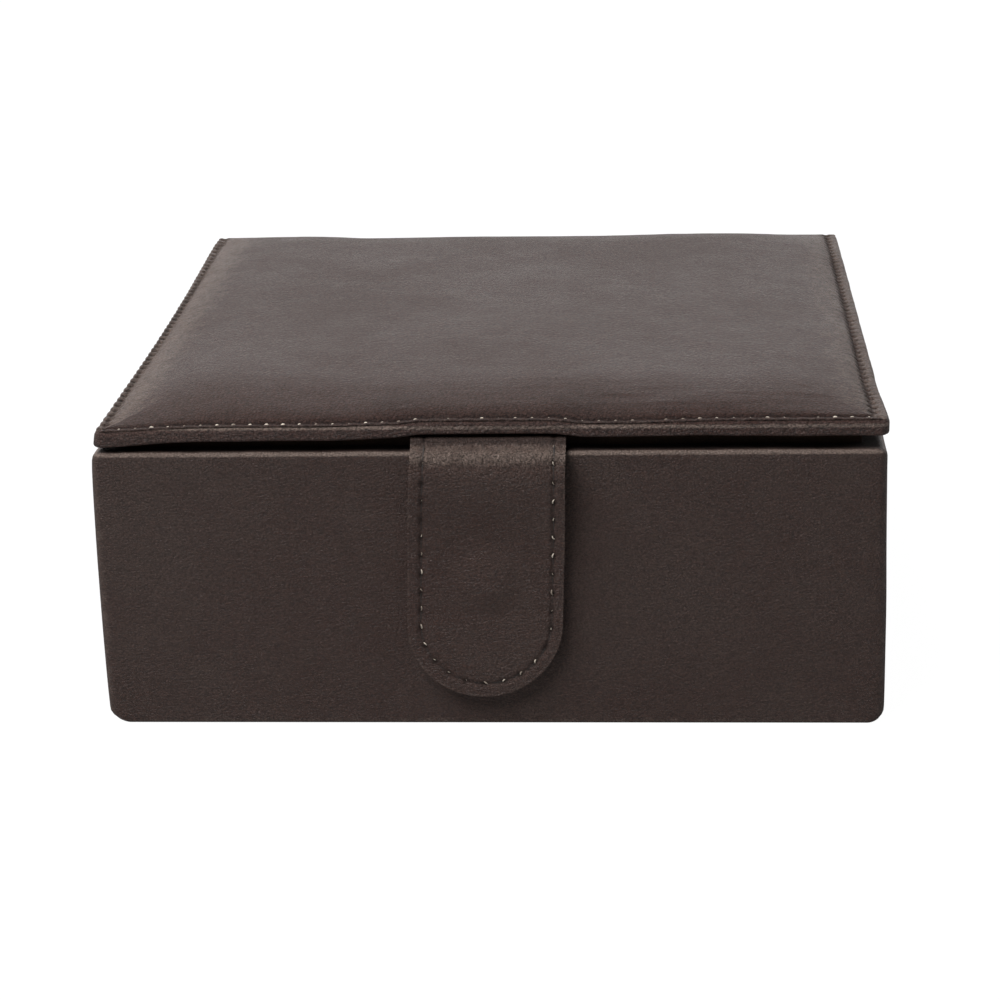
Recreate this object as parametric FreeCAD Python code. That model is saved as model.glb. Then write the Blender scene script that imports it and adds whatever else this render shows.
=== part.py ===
"""Leather covered cufflink box: padded lid on a leather spine, snap strap, divided tray, side drawer.

Frame: +X to the right, +Y to the rear, +Z up, origin on the table under the middle of the body.
The lid lifts about the rear edge, the strap hangs from the lid's front edge and the drawer leaves
through the left wall. All lengths are millimetres.
"""

import FreeCAD
import Part
from FreeCAD import Vector

import os

# ---------------------------------------------------------------- body
BODY_WIDTH = 165.0  # over the leather, left to right
BODY_DEPTH = 172.0  # over the leather, front to rear
BODY_HEIGHT = 61.0  # table to the top of the rim
BODY_LEATHER = 1.0
WALL_BOARD = 4.0
BASE_BOARD = 3.0
SHELF_BOARD = 3.0
CORNER_RADIUS = 2.0  # upright corners
FOOT_RADIUS = 1.5  # lower outer edge
RIM_RADIUS = 1.2  # upper outer edge
TURN_UNDER = 10.0  # width of the leather glued under the base
FELT_PROUD = 0.3  # how far the felt stands below that leather
CLOSE_GAP = 0.3  # between soft pieces that lie on each other but belong to two bodies

# ---------------------------------------------------------------- drawer bay and drawer
GUIDE_WIDTH = 7.0  # side guides that also carry the shelf
BAY_CLEAR = 22.7  # bay lining to the underside of the shelf
RUN_GAP = 0.5  # beside the drawer, and round its front
SLIDE_GAP = 0.3  # below the drawer
DRAWER_BOARD = 3.0
DRAWER_FRONT_BOARD = 4.0
DRAWER_BOTTOM = 2.0
DRAWER_PAD = 1.0
DRAWER_DIVIDER = 2.0
DRAWER_DIVIDER_DROP = 2.5  # below the drawer's side walls
FRONT_ROW = 49.0  # width of the drawer's long front compartment
STOP_WIDTH = 4.0
STOP_DROP = 2.4
STOP_GAP = 0.6  # the drawer's side walls pass this far under the stop
STOP_SETBACK = 36.0  # from the left wall's inner face
TAB_WIDTH = 16.0
TAB_REACH = 9.0  # beyond the drawer's face
TAB_ROOT = 3.5  # length held in the drawer's front
TAB_THICK = 2.2
TAB_CORNER = 5.0
TAB_GAP = 0.1  # all round in its slot

# ---------------------------------------------------------------- tray
TRAY_PAD = 1.8
LINER = 1.8
DIVIDER = 2.2
DIVIDER_DROP = 1.0  # rim to the top of the dividers
LAP_GAP = 0.1  # each side of a half-lap slot
COLUMNS = 4
ROWS = 4

# ---------------------------------------------------------------- lid
LID_GAP = 3.2  # rim to the underside of the lid's edge
LID_WRAP = 0.5
LID_BOARD = 1.4
LID_LEATHER = 0.9
LID_CORNER = 3.4
LID_EDGE_RADIUS = 0.9
WRAP_MARGIN = 8.0  # width of the edge wrap glued onto each face of the board
TOP_INSET = 0.6  # edge of the lid to the folded edge of the top leather
TOP_FOLD_RADIUS = 0.45
PAD_INSET = 4.6  # edge of the lid to the foot of the foam's slope
PAD_SLOPE = 26.0  # run of that slope
PAD_RISE = 2.8
LID_LINING = 1.0
LINING_INSET = 4.0
SPINE_FOLD_RADIUS = 1.6  # outer rear edge of the lid
HINGE_STRIP = 0.6

# ---------------------------------------------------------------- strap and snap
STRAP_WIDTH = 32.4
STRAP_DROP = 57.0  # lid's underside to the strap's tip
STRAP_LEATHER = 1.0  # each of two layers
STRAP_FOLD_RADIUS = 3.0  # outside of the bend at the lid's edge
ANCHOR_LENGTH = 22.0  # root of the strap held under the lid
ANCHOR_GAP = 0.1
SNAP_DROP = 30.4  # lid's underside to the middle of the snap
STUD_FLANGE_RADIUS = 4.2
STUD_FLANGE = 0.4
STUD_NECK_RADIUS = 1.7
STUD_HEAD_RADIUS = 2.1
STUD_REACH = 1.7  # front leather to the end of the stud
STUD_BEAD = 0.8  # height of the stud's wide end
POST_RADIUS = 1.5
RIVET_RADIUS = 4.5
RIVET_HEAD = 1.0
SOCKET_RADIUS = 5.2
SOCKET_BORE = 2.4
SOCKET_SET = 0.6  # front leather to the socket's face
SOCKET_HEIGHT = 1.3
CAP_RADIUS = 5.8
CAP_THICK = 0.5
CAP_GAP = 0.1  # round the cap and the socket in the leather
BUMP_RADIUS = 9.5  # of the swelling over the cap
BUMP_RISE = 1.0

# ---------------------------------------------------------------- planes worked out from the above
half_width = BODY_WIDTH / 2
half_depth = BODY_DEPTH / 2
board_x = half_width - BODY_LEATHER  # outer faces of the boards
board_y = half_depth - BODY_LEATHER
inner_x = board_x - WALL_BOARD  # inner faces of the boards
inner_y = board_y - WALL_BOARD
z_base = FELT_PROUD + BODY_LEATHER  # underside of the base board
z_bay = z_base + BASE_BOARD
z_floor = z_bay + BODY_LEATHER  # top of the bay lining, level with the mouth's leather
z_shelf = z_floor + BAY_CLEAR
z_wall = BODY_HEIGHT - BODY_LEATHER  # top of the wall boards
bay_y = inner_y - GUIDE_WIDTH

z_mouth = z_shelf - BODY_LEATHER  # top of the clear drawer mouth
drawer_y = bay_y - RUN_GAP
drawer_z = z_floor + SLIDE_GAP
drawer_face_x = -half_width
drawer_inner_x = -board_x + DRAWER_FRONT_BOARD
drawer_rear_x = inner_x - CLOSE_GAP
drawer_side_top = z_shelf - STOP_DROP - STOP_GAP
drawer_floor_z = drawer_z + DRAWER_BOTTOM + DRAWER_PAD
stop_x = -inner_x + STOP_SETBACK

z_tray = z_shelf + SHELF_BOARD
z_cells = z_tray + TRAY_PAD
z_dividers = BODY_HEIGHT - DIVIDER_DROP  # top of the dividers
z_lap = (z_cells + z_dividers) / 2  # where crossing dividers meet in their slots
liner_x = inner_x - LINER
liner_y = inner_y - LINER
z_lid = BODY_HEIGHT + LID_GAP  # underside of the lid's edge
z_lip = z_lid - max(LID_LINING, STRAP_LEATHER) - CLOSE_GAP

z_lid_board = z_lid + LID_WRAP
z_lid_board_top = z_lid_board + LID_BOARD
z_lid_wrap_top = z_lid_board_top + LID_WRAP
lid_rear = half_depth - LID_LEATHER  # rear face of the lid's edge wrap

strap_inner_y = -half_depth - CLOSE_GAP
strap_mid_y = strap_inner_y - STRAP_LEATHER
strap_outer_y = strap_mid_y - STRAP_LEATHER
fold_y = strap_outer_y + STRAP_FOLD_RADIUS  # middle of the bend
fold_z = z_lid - STRAP_FOLD_RADIUS
z_snap = z_lid - SNAP_DROP
z_tip = z_lid - STRAP_DROP
socket_face_y = -half_depth - SOCKET_SET
socket_back_y = socket_face_y - SOCKET_HEIGHT
cap_back_y = socket_back_y - CAP_THICK


# ---------------------------------------------------------------- small helpers
def block(x0, x1, y0, y1, z0, z1):
    """A box between two corners."""
    return Part.makeBox(x1 - x0, y1 - y0, z1 - z0, Vector(x0, y0, z0))


def rounded_slab(x0, x1, y0, y1, z0, z1, radius):
    """A slab whose upright edges are rounded."""
    slab = block(x0, x1, y0, y1, z0, z1)
    upright = [e for e in slab.Edges if e.BoundBox.ZLength > (z1 - z0) / 2]
    return slab.makeFillet(radius, upright)


def edges_at(shape, z):
    """Every edge that lies flat at the height z."""
    near = 1e-4
    return [e for e in shape.Edges if max(abs(e.BoundBox.ZMin - z), abs(e.BoundBox.ZMax - z)) < near]


def rod(radius, y0, y1, z, x=0.0):
    """A cylinder along Y."""
    return Part.makeCylinder(radius, y1 - y0, Vector(x, y0, z), Vector(0, 1, 0))


def cut_all(shape, *tools):
    """The shape with every tool taken away."""
    for tool in tools:
        shape = shape.cut(tool)
    return shape


def fused(shape, *others):
    """One solid, without the seams between its pieces."""
    for other in others:
        shape = shape.fuse(other)
    return shape.removeSplitter()


# ---------------------------------------------------------------- body
def body_skin():
    """The leather over the whole carcass: outer form less the boards, the tray and the base's middle."""
    x, y = half_width, half_depth
    skin = rounded_slab(-x, x, -y, y, FELT_PROUD, BODY_HEIGHT, CORNER_RADIUS)
    skin = skin.makeFillet(RIM_RADIUS, edges_at(skin, BODY_HEIGHT))
    skin = skin.makeFillet(FOOT_RADIUS, edges_at(skin, FELT_PROUD))
    carcass = block(-board_x, board_x, -board_y, board_y, z_base, z_wall)
    above = block(-inner_x, inner_x, -inner_y, inner_y, z_wall, BODY_HEIGHT + 1)
    under = felt_plan(0, z_base)
    return cut_all(skin, carcass, above, under)


def felt_plan(z0, z1):
    """The area inside the turned-under leather."""
    x, y = half_width - TURN_UNDER, half_depth - TURN_UNDER
    return block(-x, x, -y, y, z0, z1)


def mouth(x0, x1, grow=0.0):
    """The drawer's mouth through the left wall, or that grown by the leather that lines it."""
    return block(x0, x1, -bay_y - grow, bay_y + grow, z_floor - grow, z_mouth + grow)


def body_leather():
    """One wrap round the left, front and right walls, turned over the rim and into the mouth."""
    x_out, x_in = -half_width - 1, -inner_x
    front = block(-half_width - 1, half_width + 1, -half_depth - 1, board_y, 0, BODY_HEIGHT + 1)
    rim_rear = block(-inner_x, inner_x, 0, board_y, z_wall, BODY_HEIGHT + 1)
    lined = mouth(-board_x, x_in, BODY_LEATHER).cut(mouth(-board_x, x_in))
    wrap = body_skin().common(front).cut(rim_rear).cut(mouth(x_out, x_in))
    wrap = fused(wrap, lined)
    return wrap.cut(rod(POST_RADIUS, -half_depth - 1, -board_y + 1, z_snap))


def back_leather():
    """The rear panel of the cover, from the base to the top of the rear wall."""
    return body_skin().common(block(-half_width, half_width, board_y, half_depth, 0, z_wall))


def base_felt():
    return felt_plan(0, z_base)


def base_board():
    return block(-board_x, board_x, -board_y, board_y, z_base, z_bay)


def front_board():
    """Bored for the stud's post, and let in for its rivet head."""
    board = block(-board_x, board_x, -board_y, -inner_y, z_bay, z_wall)
    post = rod(POST_RADIUS, -board_y - 1, -inner_y + 1, z_snap)
    head = rod(RIVET_RADIUS, -inner_y - RIVET_HEAD, -inner_y + 1, z_snap)
    return cut_all(board, post, head)


def back_board():
    return block(-board_x, board_x, inner_y, board_y, z_bay, z_wall)


def right_board():
    return block(inner_x, board_x, -inner_y, inner_y, z_bay, z_wall)


def left_board():
    """Cut out for the drawer's mouth."""
    board = block(-board_x, -inner_x, -inner_y, inner_y, z_bay, z_wall)
    return board.cut(mouth(-board_x - 1, -inner_x + 1, BODY_LEATHER))


def drawer_guide(side):
    """side is -1 for the front guide and 1 for the rear one."""
    y0, y1 = sorted((side * bay_y, side * inner_y))
    return block(-inner_x, inner_x, y0, y1, z_bay, z_shelf)


def bay_lining():
    return block(-inner_x, inner_x, -bay_y, bay_y, z_bay, z_floor)


def drawer_stop():
    """A strip under the shelf that catches the drawer's rear wall."""
    return block(stop_x, stop_x + STOP_WIDTH, -bay_y, bay_y, z_shelf - STOP_DROP, z_shelf)


def shelf_board():
    return block(-inner_x, inner_x, -inner_y, inner_y, z_shelf, z_tray)


def snap_stud():
    """Flange and ball end of the stud, in front of the leather."""
    flange = rod(STUD_FLANGE_RADIUS, -half_depth - STUD_FLANGE, -half_depth, z_snap)
    neck = rod(STUD_NECK_RADIUS, -half_depth - STUD_REACH, -half_depth, z_snap)
    bead = rod(STUD_HEAD_RADIUS, -half_depth - STUD_REACH, -half_depth - STUD_REACH + STUD_BEAD, z_snap)
    ring = [e for e in bead.Edges if e.Curve.TypeId == "Part::GeomCircle"]
    bead = bead.makeFillet(STUD_BEAD / 3, ring)
    return fused(flange, neck, bead)


def snap_stud_rivet():
    """Post and head that clinch the stud from inside the front board."""
    post = rod(POST_RADIUS, -half_depth, -inner_y - RIVET_HEAD, z_snap)
    head = rod(RIVET_RADIUS, -inner_y - RIVET_HEAD, -inner_y, z_snap)
    return fused(post, head)


# ---------------------------------------------------------------- tray
def tray_pad():
    return block(-liner_x, liner_x, -liner_y, liner_y, z_tray, z_cells)


def tray_liner_wide(side):
    """side is -1 for the front liner and 1 for the rear one."""
    y0, y1 = sorted((side * liner_y, side * inner_y))
    return block(-inner_x, inner_x, y0, y1, z_tray, z_lip)


def tray_liner_end(side):
    """side is -1 for the left liner and 1 for the right one."""
    x0, x1 = sorted((side * liner_x, side * inner_x))
    return block(x0, x1, -liner_y, liner_y, z_tray, z_lip)


def divider_places(reach, count):
    """Middles of the dividers that share a width into count equal cells."""
    cell = (2 * reach - (count - 1) * DIVIDER) / count
    return [-reach + (i + 1) * (cell + DIVIDER) - DIVIDER / 2 for i in range(count - 1)]


def long_divider(x):
    """Runs front to rear, slotted from above for the cross dividers."""
    half = DIVIDER / 2
    slot = half + LAP_GAP
    board = block(x - half, x + half, -liner_y, liner_y, z_cells, z_dividers)
    for y in divider_places(liner_y, ROWS):
        board = board.cut(block(x - DIVIDER, x + DIVIDER, y - slot, y + slot, z_lap, z_dividers + 1))
    return board


def cross_divider(y):
    """Runs left to right, slotted from below for the long dividers."""
    half = DIVIDER / 2
    slot = half + LAP_GAP
    board = block(-liner_x, liner_x, y - half, y + half, z_cells, z_dividers)
    for x in divider_places(liner_x, COLUMNS):
        board = board.cut(block(x - slot, x + slot, y - DIVIDER, y + DIVIDER, z_cells - 1, z_lap))
    return board


# ---------------------------------------------------------------- lid
def window(z0, z1):
    """The area inside the edge wrap's margins."""
    x = half_width - LID_WRAP - WRAP_MARGIN
    y0, y1 = -half_depth + LID_WRAP + WRAP_MARGIN, lid_rear - LID_WRAP - WRAP_MARGIN
    return block(-x, x, y0, y1, z0, z1)


def lid_board():
    x = half_width - LID_WRAP
    y0, y1 = -half_depth + LID_WRAP, lid_rear - LID_WRAP
    return rounded_slab(-x, x, y0, y1, z_lid_board, z_lid_board_top, LID_CORNER - LID_WRAP)


def lid_edge_wrap():
    """Leather folded round the board's edge, with a margin on each face."""
    wrap = rounded_slab(-half_width, half_width, -half_depth, lid_rear, z_lid, z_lid_wrap_top, LID_CORNER)
    wrap = wrap.makeFillet(LID_EDGE_RADIUS, edges_at(wrap, z_lid) + edges_at(wrap, z_lid_wrap_top))
    return cut_all(wrap, lid_board(), window(z_lid - 1, z_lid_wrap_top + 1))


def slope_section(low, high, rise):
    """Upright section of the pad, as (across, up) corners and arc middles: sloped, flat, sloped."""
    run = min(PAD_SLOPE, (high - low) * 0.45)
    radius = (run * run + rise * rise) / (2 * rise)
    near = low + run
    far = high - run
    part_way = run / 2
    dip = radius - (radius * radius - part_way * part_way) ** 0.5
    return near, far, part_way, dip


def pillow(z0):
    """The foam's form above z0: a flat middle and four rounded slopes."""
    x1 = half_width - PAD_INSET
    y0, y1 = -half_depth + PAD_INSET, lid_rear - PAD_INSET
    top = z0 + PAD_RISE

    def prism(low, high, place, direction):
        near, far, part_way, dip = slope_section(low, high, PAD_RISE)
        p = [place(low, z0), place(near, top), place(far, top), place(high, z0)]
        rising = Part.Arc(p[0], place(near - part_way, top - dip), p[1]).toShape()
        falling = Part.Arc(p[2], place(far + part_way, top - dip), p[3]).toShape()
        flat = Part.makeLine(p[1], p[2])
        foot = Part.makeLine(p[3], p[0])
        return Part.Face(Part.Wire([rising, flat, falling, foot])).extrude(direction)

    across = prism(-x1, x1, lambda u, z: Vector(u, y0, z), Vector(0, y1 - y0, 0))
    along = prism(y0, y1, lambda u, z: Vector(-x1, u, z), Vector(2 * x1, 0, 0))
    return across.common(along)


def lid_foam():
    return fused(window(z_lid_board_top, z_lid_wrap_top), pillow(z_lid_wrap_top))


def lid_top_leather():
    """The stitched top panel, drawn over the foam and turned down over the lid's rear edge."""
    x = half_width - TOP_INSET
    z_top = z_lid_wrap_top + LID_LEATHER
    radius = LID_CORNER - TOP_INSET
    panel = rounded_slab(-x, x, -half_depth + TOP_INSET, half_depth, z_lid_wrap_top, z_top, radius)
    folded = [e for e in edges_at(panel, z_top) if e.BoundBox.YMin < half_depth - radius]
    panel = panel.makeFillet(TOP_FOLD_RADIUS, folded)
    tail = block(-x, x, lid_rear - SPINE_FOLD_RADIUS, half_depth, z_lid, z_top)
    outer = [e for e in edges_at(tail, z_top) if e.BoundBox.YMin > half_depth - 0.01]
    tail = tail.makeFillet(SPINE_FOLD_RADIUS, outer)
    rear = block(-half_width, half_width, lid_rear - SPINE_FOLD_RADIUS, half_depth + 1, z_lid - 1, z_top + 1)
    hollow = block(-half_width, half_width, 0, lid_rear, z_lid - 1, z_lid_wrap_top)
    leather = fused(panel.cut(rear), tail.cut(hollow), pillow(z_top))
    return leather.cut(pillow(z_lid_wrap_top))


def lid_lining():
    """Suede panel inside the lid, let in for the strap's root."""
    x = half_width - LINING_INSET
    y0, y1 = -half_depth + LINING_INSET, lid_rear - LINING_INSET
    panel = block(-x, x, y0, y1, z_lid - LID_LINING, z_lid)
    gap = anchor_block(ANCHOR_GAP, y0 - 1)
    return fused(panel.cut(gap), window(z_lid, z_lid_board))


def anchor_block(grow, y_front):
    """The room of the strap's root, grown by a clearance."""
    x = STRAP_WIDTH / 2 + grow
    y1 = -half_depth + LINING_INSET + ANCHOR_LENGTH + grow
    return block(-x, x, y_front, y1, z_lid - max(STRAP_LEATHER, LID_LINING), z_lid)


def strap_anchor():
    x = STRAP_WIDTH / 2
    y1 = -half_depth + LINING_INSET + ANCHOR_LENGTH
    return block(-x, x, fold_y, y1, z_lid - STRAP_LEATHER, z_lid)


def spine_leather():
    """The bare stretch of the cover between the rear wall and the lid, where it bends."""
    x = half_width - TOP_INSET
    return block(-x, x, board_y, half_depth, z_wall, z_lid)


def hinge_strip():
    """Suede strip over the rear wall's top edge and up the inside of the spine."""
    ledge = block(-inner_x, inner_x, inner_y, board_y, z_wall, z_wall + HINGE_STRIP)
    rise = block(-inner_x, inner_x, board_y - HINGE_STRIP, board_y, z_wall, z_lid)
    return fused(ledge, rise)


# ---------------------------------------------------------------- strap
def strap_fold():
    """The bend of the outer leather from under the lid to the front."""
    x = STRAP_WIDTH / 2
    start, across = Vector(-x, fold_y, fold_z), Vector(1, 0, 0)
    ring = Part.makeCylinder(STRAP_FOLD_RADIUS, 2 * x, start, across)
    core = Part.makeCylinder(STRAP_FOLD_RADIUS - STRAP_LEATHER, 2 * x, start, across)
    quarter = block(-x, x, fold_y - STRAP_FOLD_RADIUS, fold_y, fold_z, fold_z + STRAP_FOLD_RADIUS)
    return ring.cut(core).common(quarter)


def strap_plate(y0, y1):
    """One layer of the hanging strap, with its round tip."""
    x = STRAP_WIDTH / 2
    plate = block(-x, x, y0, y1, z_tip + x, fold_z)
    return fused(plate, rod(x, y0, y1, z_tip + x))


def strap_outer_leather():
    """Front layer, swelling over the hidden snap cap."""
    radius = (BUMP_RADIUS ** 2 + BUMP_RISE ** 2) / (2 * BUMP_RISE)
    ball = Part.makeSphere(radius, Vector(0, strap_outer_y - BUMP_RISE + radius, z_snap))
    swelling = ball.common(rod(BUMP_RADIUS + 1, strap_outer_y - 2 * BUMP_RISE, strap_outer_y, z_snap))
    layer = fused(strap_plate(strap_outer_y, strap_mid_y), swelling)
    room = rod(CAP_RADIUS + CAP_GAP, cap_back_y, strap_mid_y, z_snap)
    return layer.cut(room)


def strap_inner_leather():
    """Rear layer, holed for the socket."""
    hole = rod(SOCKET_RADIUS + CAP_GAP, strap_mid_y - 1, strap_inner_y + 1, z_snap)
    return strap_plate(strap_mid_y, strap_inner_y).cut(hole)


def snap_socket():
    ring = rod(SOCKET_RADIUS, socket_back_y, socket_face_y, z_snap)
    return ring.cut(rod(SOCKET_BORE, socket_back_y - 1, socket_face_y + 1, z_snap))


def snap_cap():
    return rod(CAP_RADIUS, cap_back_y, socket_back_y, z_snap)


# ---------------------------------------------------------------- drawer
def drawer_front_outline(x0, x1, inset):
    """The drawer's inset front, less an inset all round."""
    y = drawer_y - inset
    return block(x0, x1, -y, y, z_floor + RUN_GAP + inset, z_mouth - RUN_GAP - inset)


def tab_slot(x0, x1, grow):
    """The slot that holds the pull tab's root."""
    y = TAB_WIDTH / 2 + grow
    half = TAB_THICK / 2 + grow
    z = (z_floor + z_mouth) / 2
    return block(x0, x1, -y, y, z - half, z + half)


def drawer_front_board():
    board = drawer_front_outline(-board_x, drawer_inner_x, BODY_LEATHER)
    slot_end = drawer_face_x + TAB_ROOT + TAB_GAP
    return board.cut(tab_slot(-half_width - 1, slot_end, TAB_GAP))


def drawer_front_leather():
    """Face and edges of the drawer's front."""
    skin = drawer_front_outline(drawer_face_x, drawer_inner_x, 0)
    core = drawer_front_outline(-board_x, drawer_inner_x + 1, BODY_LEATHER)
    return cut_all(skin, core, tab_slot(-half_width - 1, -board_x + 1, TAB_GAP))


def pull_tab():
    """A folded leather tab, rounded in plan."""
    y = TAB_WIDTH / 2
    half = TAB_THICK / 2
    z = (z_floor + z_mouth) / 2
    x_tip = drawer_face_x - TAB_REACH
    tab = block(x_tip, drawer_face_x + TAB_ROOT, -y, y, z - half, z + half)
    tip = [e for e in tab.Edges if e.BoundBox.ZLength > half and e.BoundBox.XMax < drawer_face_x]
    return tab.makeFillet(TAB_CORNER, tip)


def drawer_side(side):
    """side is -1 for the front wall and 1 for the rear one."""
    y0, y1 = sorted((side * (drawer_y - DRAWER_BOARD), side * drawer_y))
    return block(drawer_inner_x, drawer_rear_x - DRAWER_BOARD, y0, y1, drawer_z, drawer_side_top)


def drawer_end():
    """The far wall, tall enough to meet the stop."""
    x0, x1 = drawer_rear_x - DRAWER_BOARD, drawer_rear_x
    return block(x0, x1, -drawer_y, drawer_y, drawer_z, z_mouth - RUN_GAP)


def drawer_room(z0, z1):
    """The space between the drawer's four walls."""
    y = drawer_y - DRAWER_BOARD
    return block(drawer_inner_x, drawer_rear_x - DRAWER_BOARD, -y, y, z0, z1)


def drawer_bottom():
    return drawer_room(drawer_z, drawer_z + DRAWER_BOTTOM)


def drawer_pad():
    return drawer_room(drawer_z + DRAWER_BOTTOM, drawer_floor_z)


def drawer_long_divider():
    """Parts the long front compartment from the two behind it."""
    room = drawer_room(drawer_floor_z, drawer_side_top - DRAWER_DIVIDER_DROP)
    y = -drawer_y + DRAWER_BOARD + FRONT_ROW
    return room.common(block(-half_width, half_width, y, y + DRAWER_DIVIDER, 0, z_shelf))


def drawer_cross_divider():
    """Parts the two rear compartments."""
    room = drawer_room(drawer_floor_z, drawer_side_top - DRAWER_DIVIDER_DROP)
    y = -drawer_y + DRAWER_BOARD + FRONT_ROW + DRAWER_DIVIDER
    half = DRAWER_DIVIDER / 2
    middle = (drawer_inner_x + drawer_rear_x - DRAWER_BOARD) / 2
    return room.common(block(middle - half, middle + half, y, half_depth, 0, z_shelf))


def parts():
    """Every sub-part by name."""
    made = {
        "base_felt": base_felt(),
        "base_board": base_board(),
        "front_board": front_board(),
        "back_board": back_board(),
        "left_board": left_board(),
        "right_board": right_board(),
        "body_leather": body_leather(),
        "back_leather": back_leather(),
        "drawer_guide_front": drawer_guide(-1),
        "drawer_guide_rear": drawer_guide(1),
        "bay_lining": bay_lining(),
        "drawer_stop": drawer_stop(),
        "shelf_board": shelf_board(),
        "snap_stud": snap_stud(),
        "snap_stud_rivet": snap_stud_rivet(),
        "tray_pad": tray_pad(),
        "tray_liner_front": tray_liner_wide(-1),
        "tray_liner_rear": tray_liner_wide(1),
        "tray_liner_left": tray_liner_end(-1),
        "tray_liner_right": tray_liner_end(1),
        "lid_board": lid_board(),
        "lid_edge_wrap": lid_edge_wrap(),
        "lid_foam": lid_foam(),
        "lid_top_leather": lid_top_leather(),
        "lid_lining": lid_lining(),
        "strap_anchor": strap_anchor(),
        "spine_leather": spine_leather(),
        "hinge_strip": hinge_strip(),
        "strap_fold": strap_fold(),
        "strap_outer_leather": strap_outer_leather(),
        "strap_inner_leather": strap_inner_leather(),
        "snap_socket": snap_socket(),
        "snap_cap": snap_cap(),
        "drawer_front_board": drawer_front_board(),
        "drawer_front_leather": drawer_front_leather(),
        "pull_tab": pull_tab(),
        "drawer_side_front": drawer_side(-1),
        "drawer_side_rear": drawer_side(1),
        "drawer_end": drawer_end(),
        "drawer_bottom": drawer_bottom(),
        "drawer_pad": drawer_pad(),
        "drawer_long_divider": drawer_long_divider(),
        "drawer_cross_divider": drawer_cross_divider(),
    }
    for i, x in enumerate(divider_places(liner_x, COLUMNS), 1):
        made[f"long_divider_{i}"] = long_divider(x)
    for i, y in enumerate(divider_places(liner_y, ROWS), 1):
        made[f"cross_divider_{i}"] = cross_divider(y)
    return made


os.makedirs("parts", exist_ok=True)
for name, shape in parts().items():
    solid = shape.Solids[0] if len(shape.Solids) == 1 else shape
    if not shape.isValid() or len(shape.Solids) != 1:
        raise ValueError(f"{name}: {len(shape.Solids)} solids, valid {shape.isValid()}")
    solid.exportStep(f"parts/{name}.step")
    print(f"{name}: {solid.Volume:.1f} mm3")
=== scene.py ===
"""The looks of a leather covered cufflink box: cover, padded lid, snap strap, suede tray and side drawer.

All lengths are metres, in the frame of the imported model: +X to the right, +Y to the rear, +Z up.
"""

import math
from contextlib import contextmanager
from functools import partial

import bmesh
import bpy
import numpy as np
from bpy.props import FloatProperty, FloatVectorProperty, IntProperty, PointerProperty
from bpy.types import Operator, Panel, PropertyGroup
from mathutils import Matrix, Vector, noise


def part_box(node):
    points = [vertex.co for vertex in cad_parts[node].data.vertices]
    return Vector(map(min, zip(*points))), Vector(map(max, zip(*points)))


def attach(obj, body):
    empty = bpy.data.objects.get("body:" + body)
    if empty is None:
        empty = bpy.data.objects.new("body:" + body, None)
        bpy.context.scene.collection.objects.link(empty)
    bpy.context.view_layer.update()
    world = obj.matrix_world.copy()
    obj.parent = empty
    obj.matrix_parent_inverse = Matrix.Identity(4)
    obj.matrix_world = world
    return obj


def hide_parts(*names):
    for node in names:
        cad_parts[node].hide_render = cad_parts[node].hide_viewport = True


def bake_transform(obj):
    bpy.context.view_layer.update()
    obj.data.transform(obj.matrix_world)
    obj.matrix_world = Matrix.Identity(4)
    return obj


bl_info = {
    "name": "Leather Cufflink Box",
    "version": (1, 0, 0),
    "blender": (4, 5, 0),
    "location": "3D View > Sidebar > Cufflink Box",
    "description": "Dresses the frame of a cufflink box in leather, suede, thread and metal",
    "category": "Object",
}

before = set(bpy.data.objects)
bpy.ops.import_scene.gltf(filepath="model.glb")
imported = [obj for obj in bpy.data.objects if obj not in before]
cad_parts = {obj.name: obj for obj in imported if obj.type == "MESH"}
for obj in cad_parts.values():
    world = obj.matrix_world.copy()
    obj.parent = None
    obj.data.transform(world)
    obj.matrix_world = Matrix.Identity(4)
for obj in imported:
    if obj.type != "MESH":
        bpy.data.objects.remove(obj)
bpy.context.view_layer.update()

MM = 0.001


def span(node):
    """Lowest and highest corner of a CAD node as arrays."""
    low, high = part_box(node)
    return np.array(low), np.array(high)


# Places read from the frame.
WALLS_LOW, WALLS_HIGH = span("body_leather")
BACK_LOW, BACK_HIGH = span("back_leather")
SPINE_LOW, SPINE_HIGH = span("spine_leather")
BOARD_LOW, BOARD_HIGH = span("lid_board")
EDGE_LOW, EDGE_HIGH = span("lid_edge_wrap")
TOP_LOW, TOP_HIGH = span("lid_top_leather")
LINING_LOW, LINING_HIGH = span("lid_lining")
ANCHOR_LOW, ANCHOR_HIGH = span("strap_anchor")
FOLD_LOW, FOLD_HIGH = span("strap_fold")
OUTER_LOW, OUTER_HIGH = span("strap_outer_leather")
INNER_LOW = span("strap_inner_leather")[0]
SOCKET_LOW, SOCKET_HIGH = span("snap_socket")
BAY_LOW, BAY_HIGH = span("bay_lining")
SHELF_LOW = span("shelf_board")[0]
FACE_LOW, FACE_HIGH = span("drawer_front_leather")
TAB_LOW = span("pull_tab")[0]
LEDGE_LOW, LEDGE_HIGH = span("hinge_strip")

FRONT = WALLS_LOW[1]
REAR = BACK_HIGH[1]
RIGHT = WALLS_HIGH[0]
HEIGHT = WALLS_HIGH[2]
LEATHER = REAR - BACK_LOW[1]
LID_Z = EDGE_LOW[2]
WRAP_TOP = EDGE_HIGH[2]
STRAP_LEATHER = ANCHOR_HIGH[2] - ANCHOR_LOW[2]


# ---------------------------------------------------------------- settings
def length(name, text, default, **limits):
    """A length property in metres."""
    return FloatProperty(name=name, description=text, default=default, unit="LENGTH", precision=5, **limits)


def colour(name, text, default):
    """A colour property, in linear light."""
    return FloatVectorProperty(
        name=name, description=text, default=default, subtype="COLOR", size=3, min=0.0, max=1.0
    )


def amount(name, text, default, **limits):
    """A plain number."""
    return FloatProperty(name=name, description=text, default=default, **limits)


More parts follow.
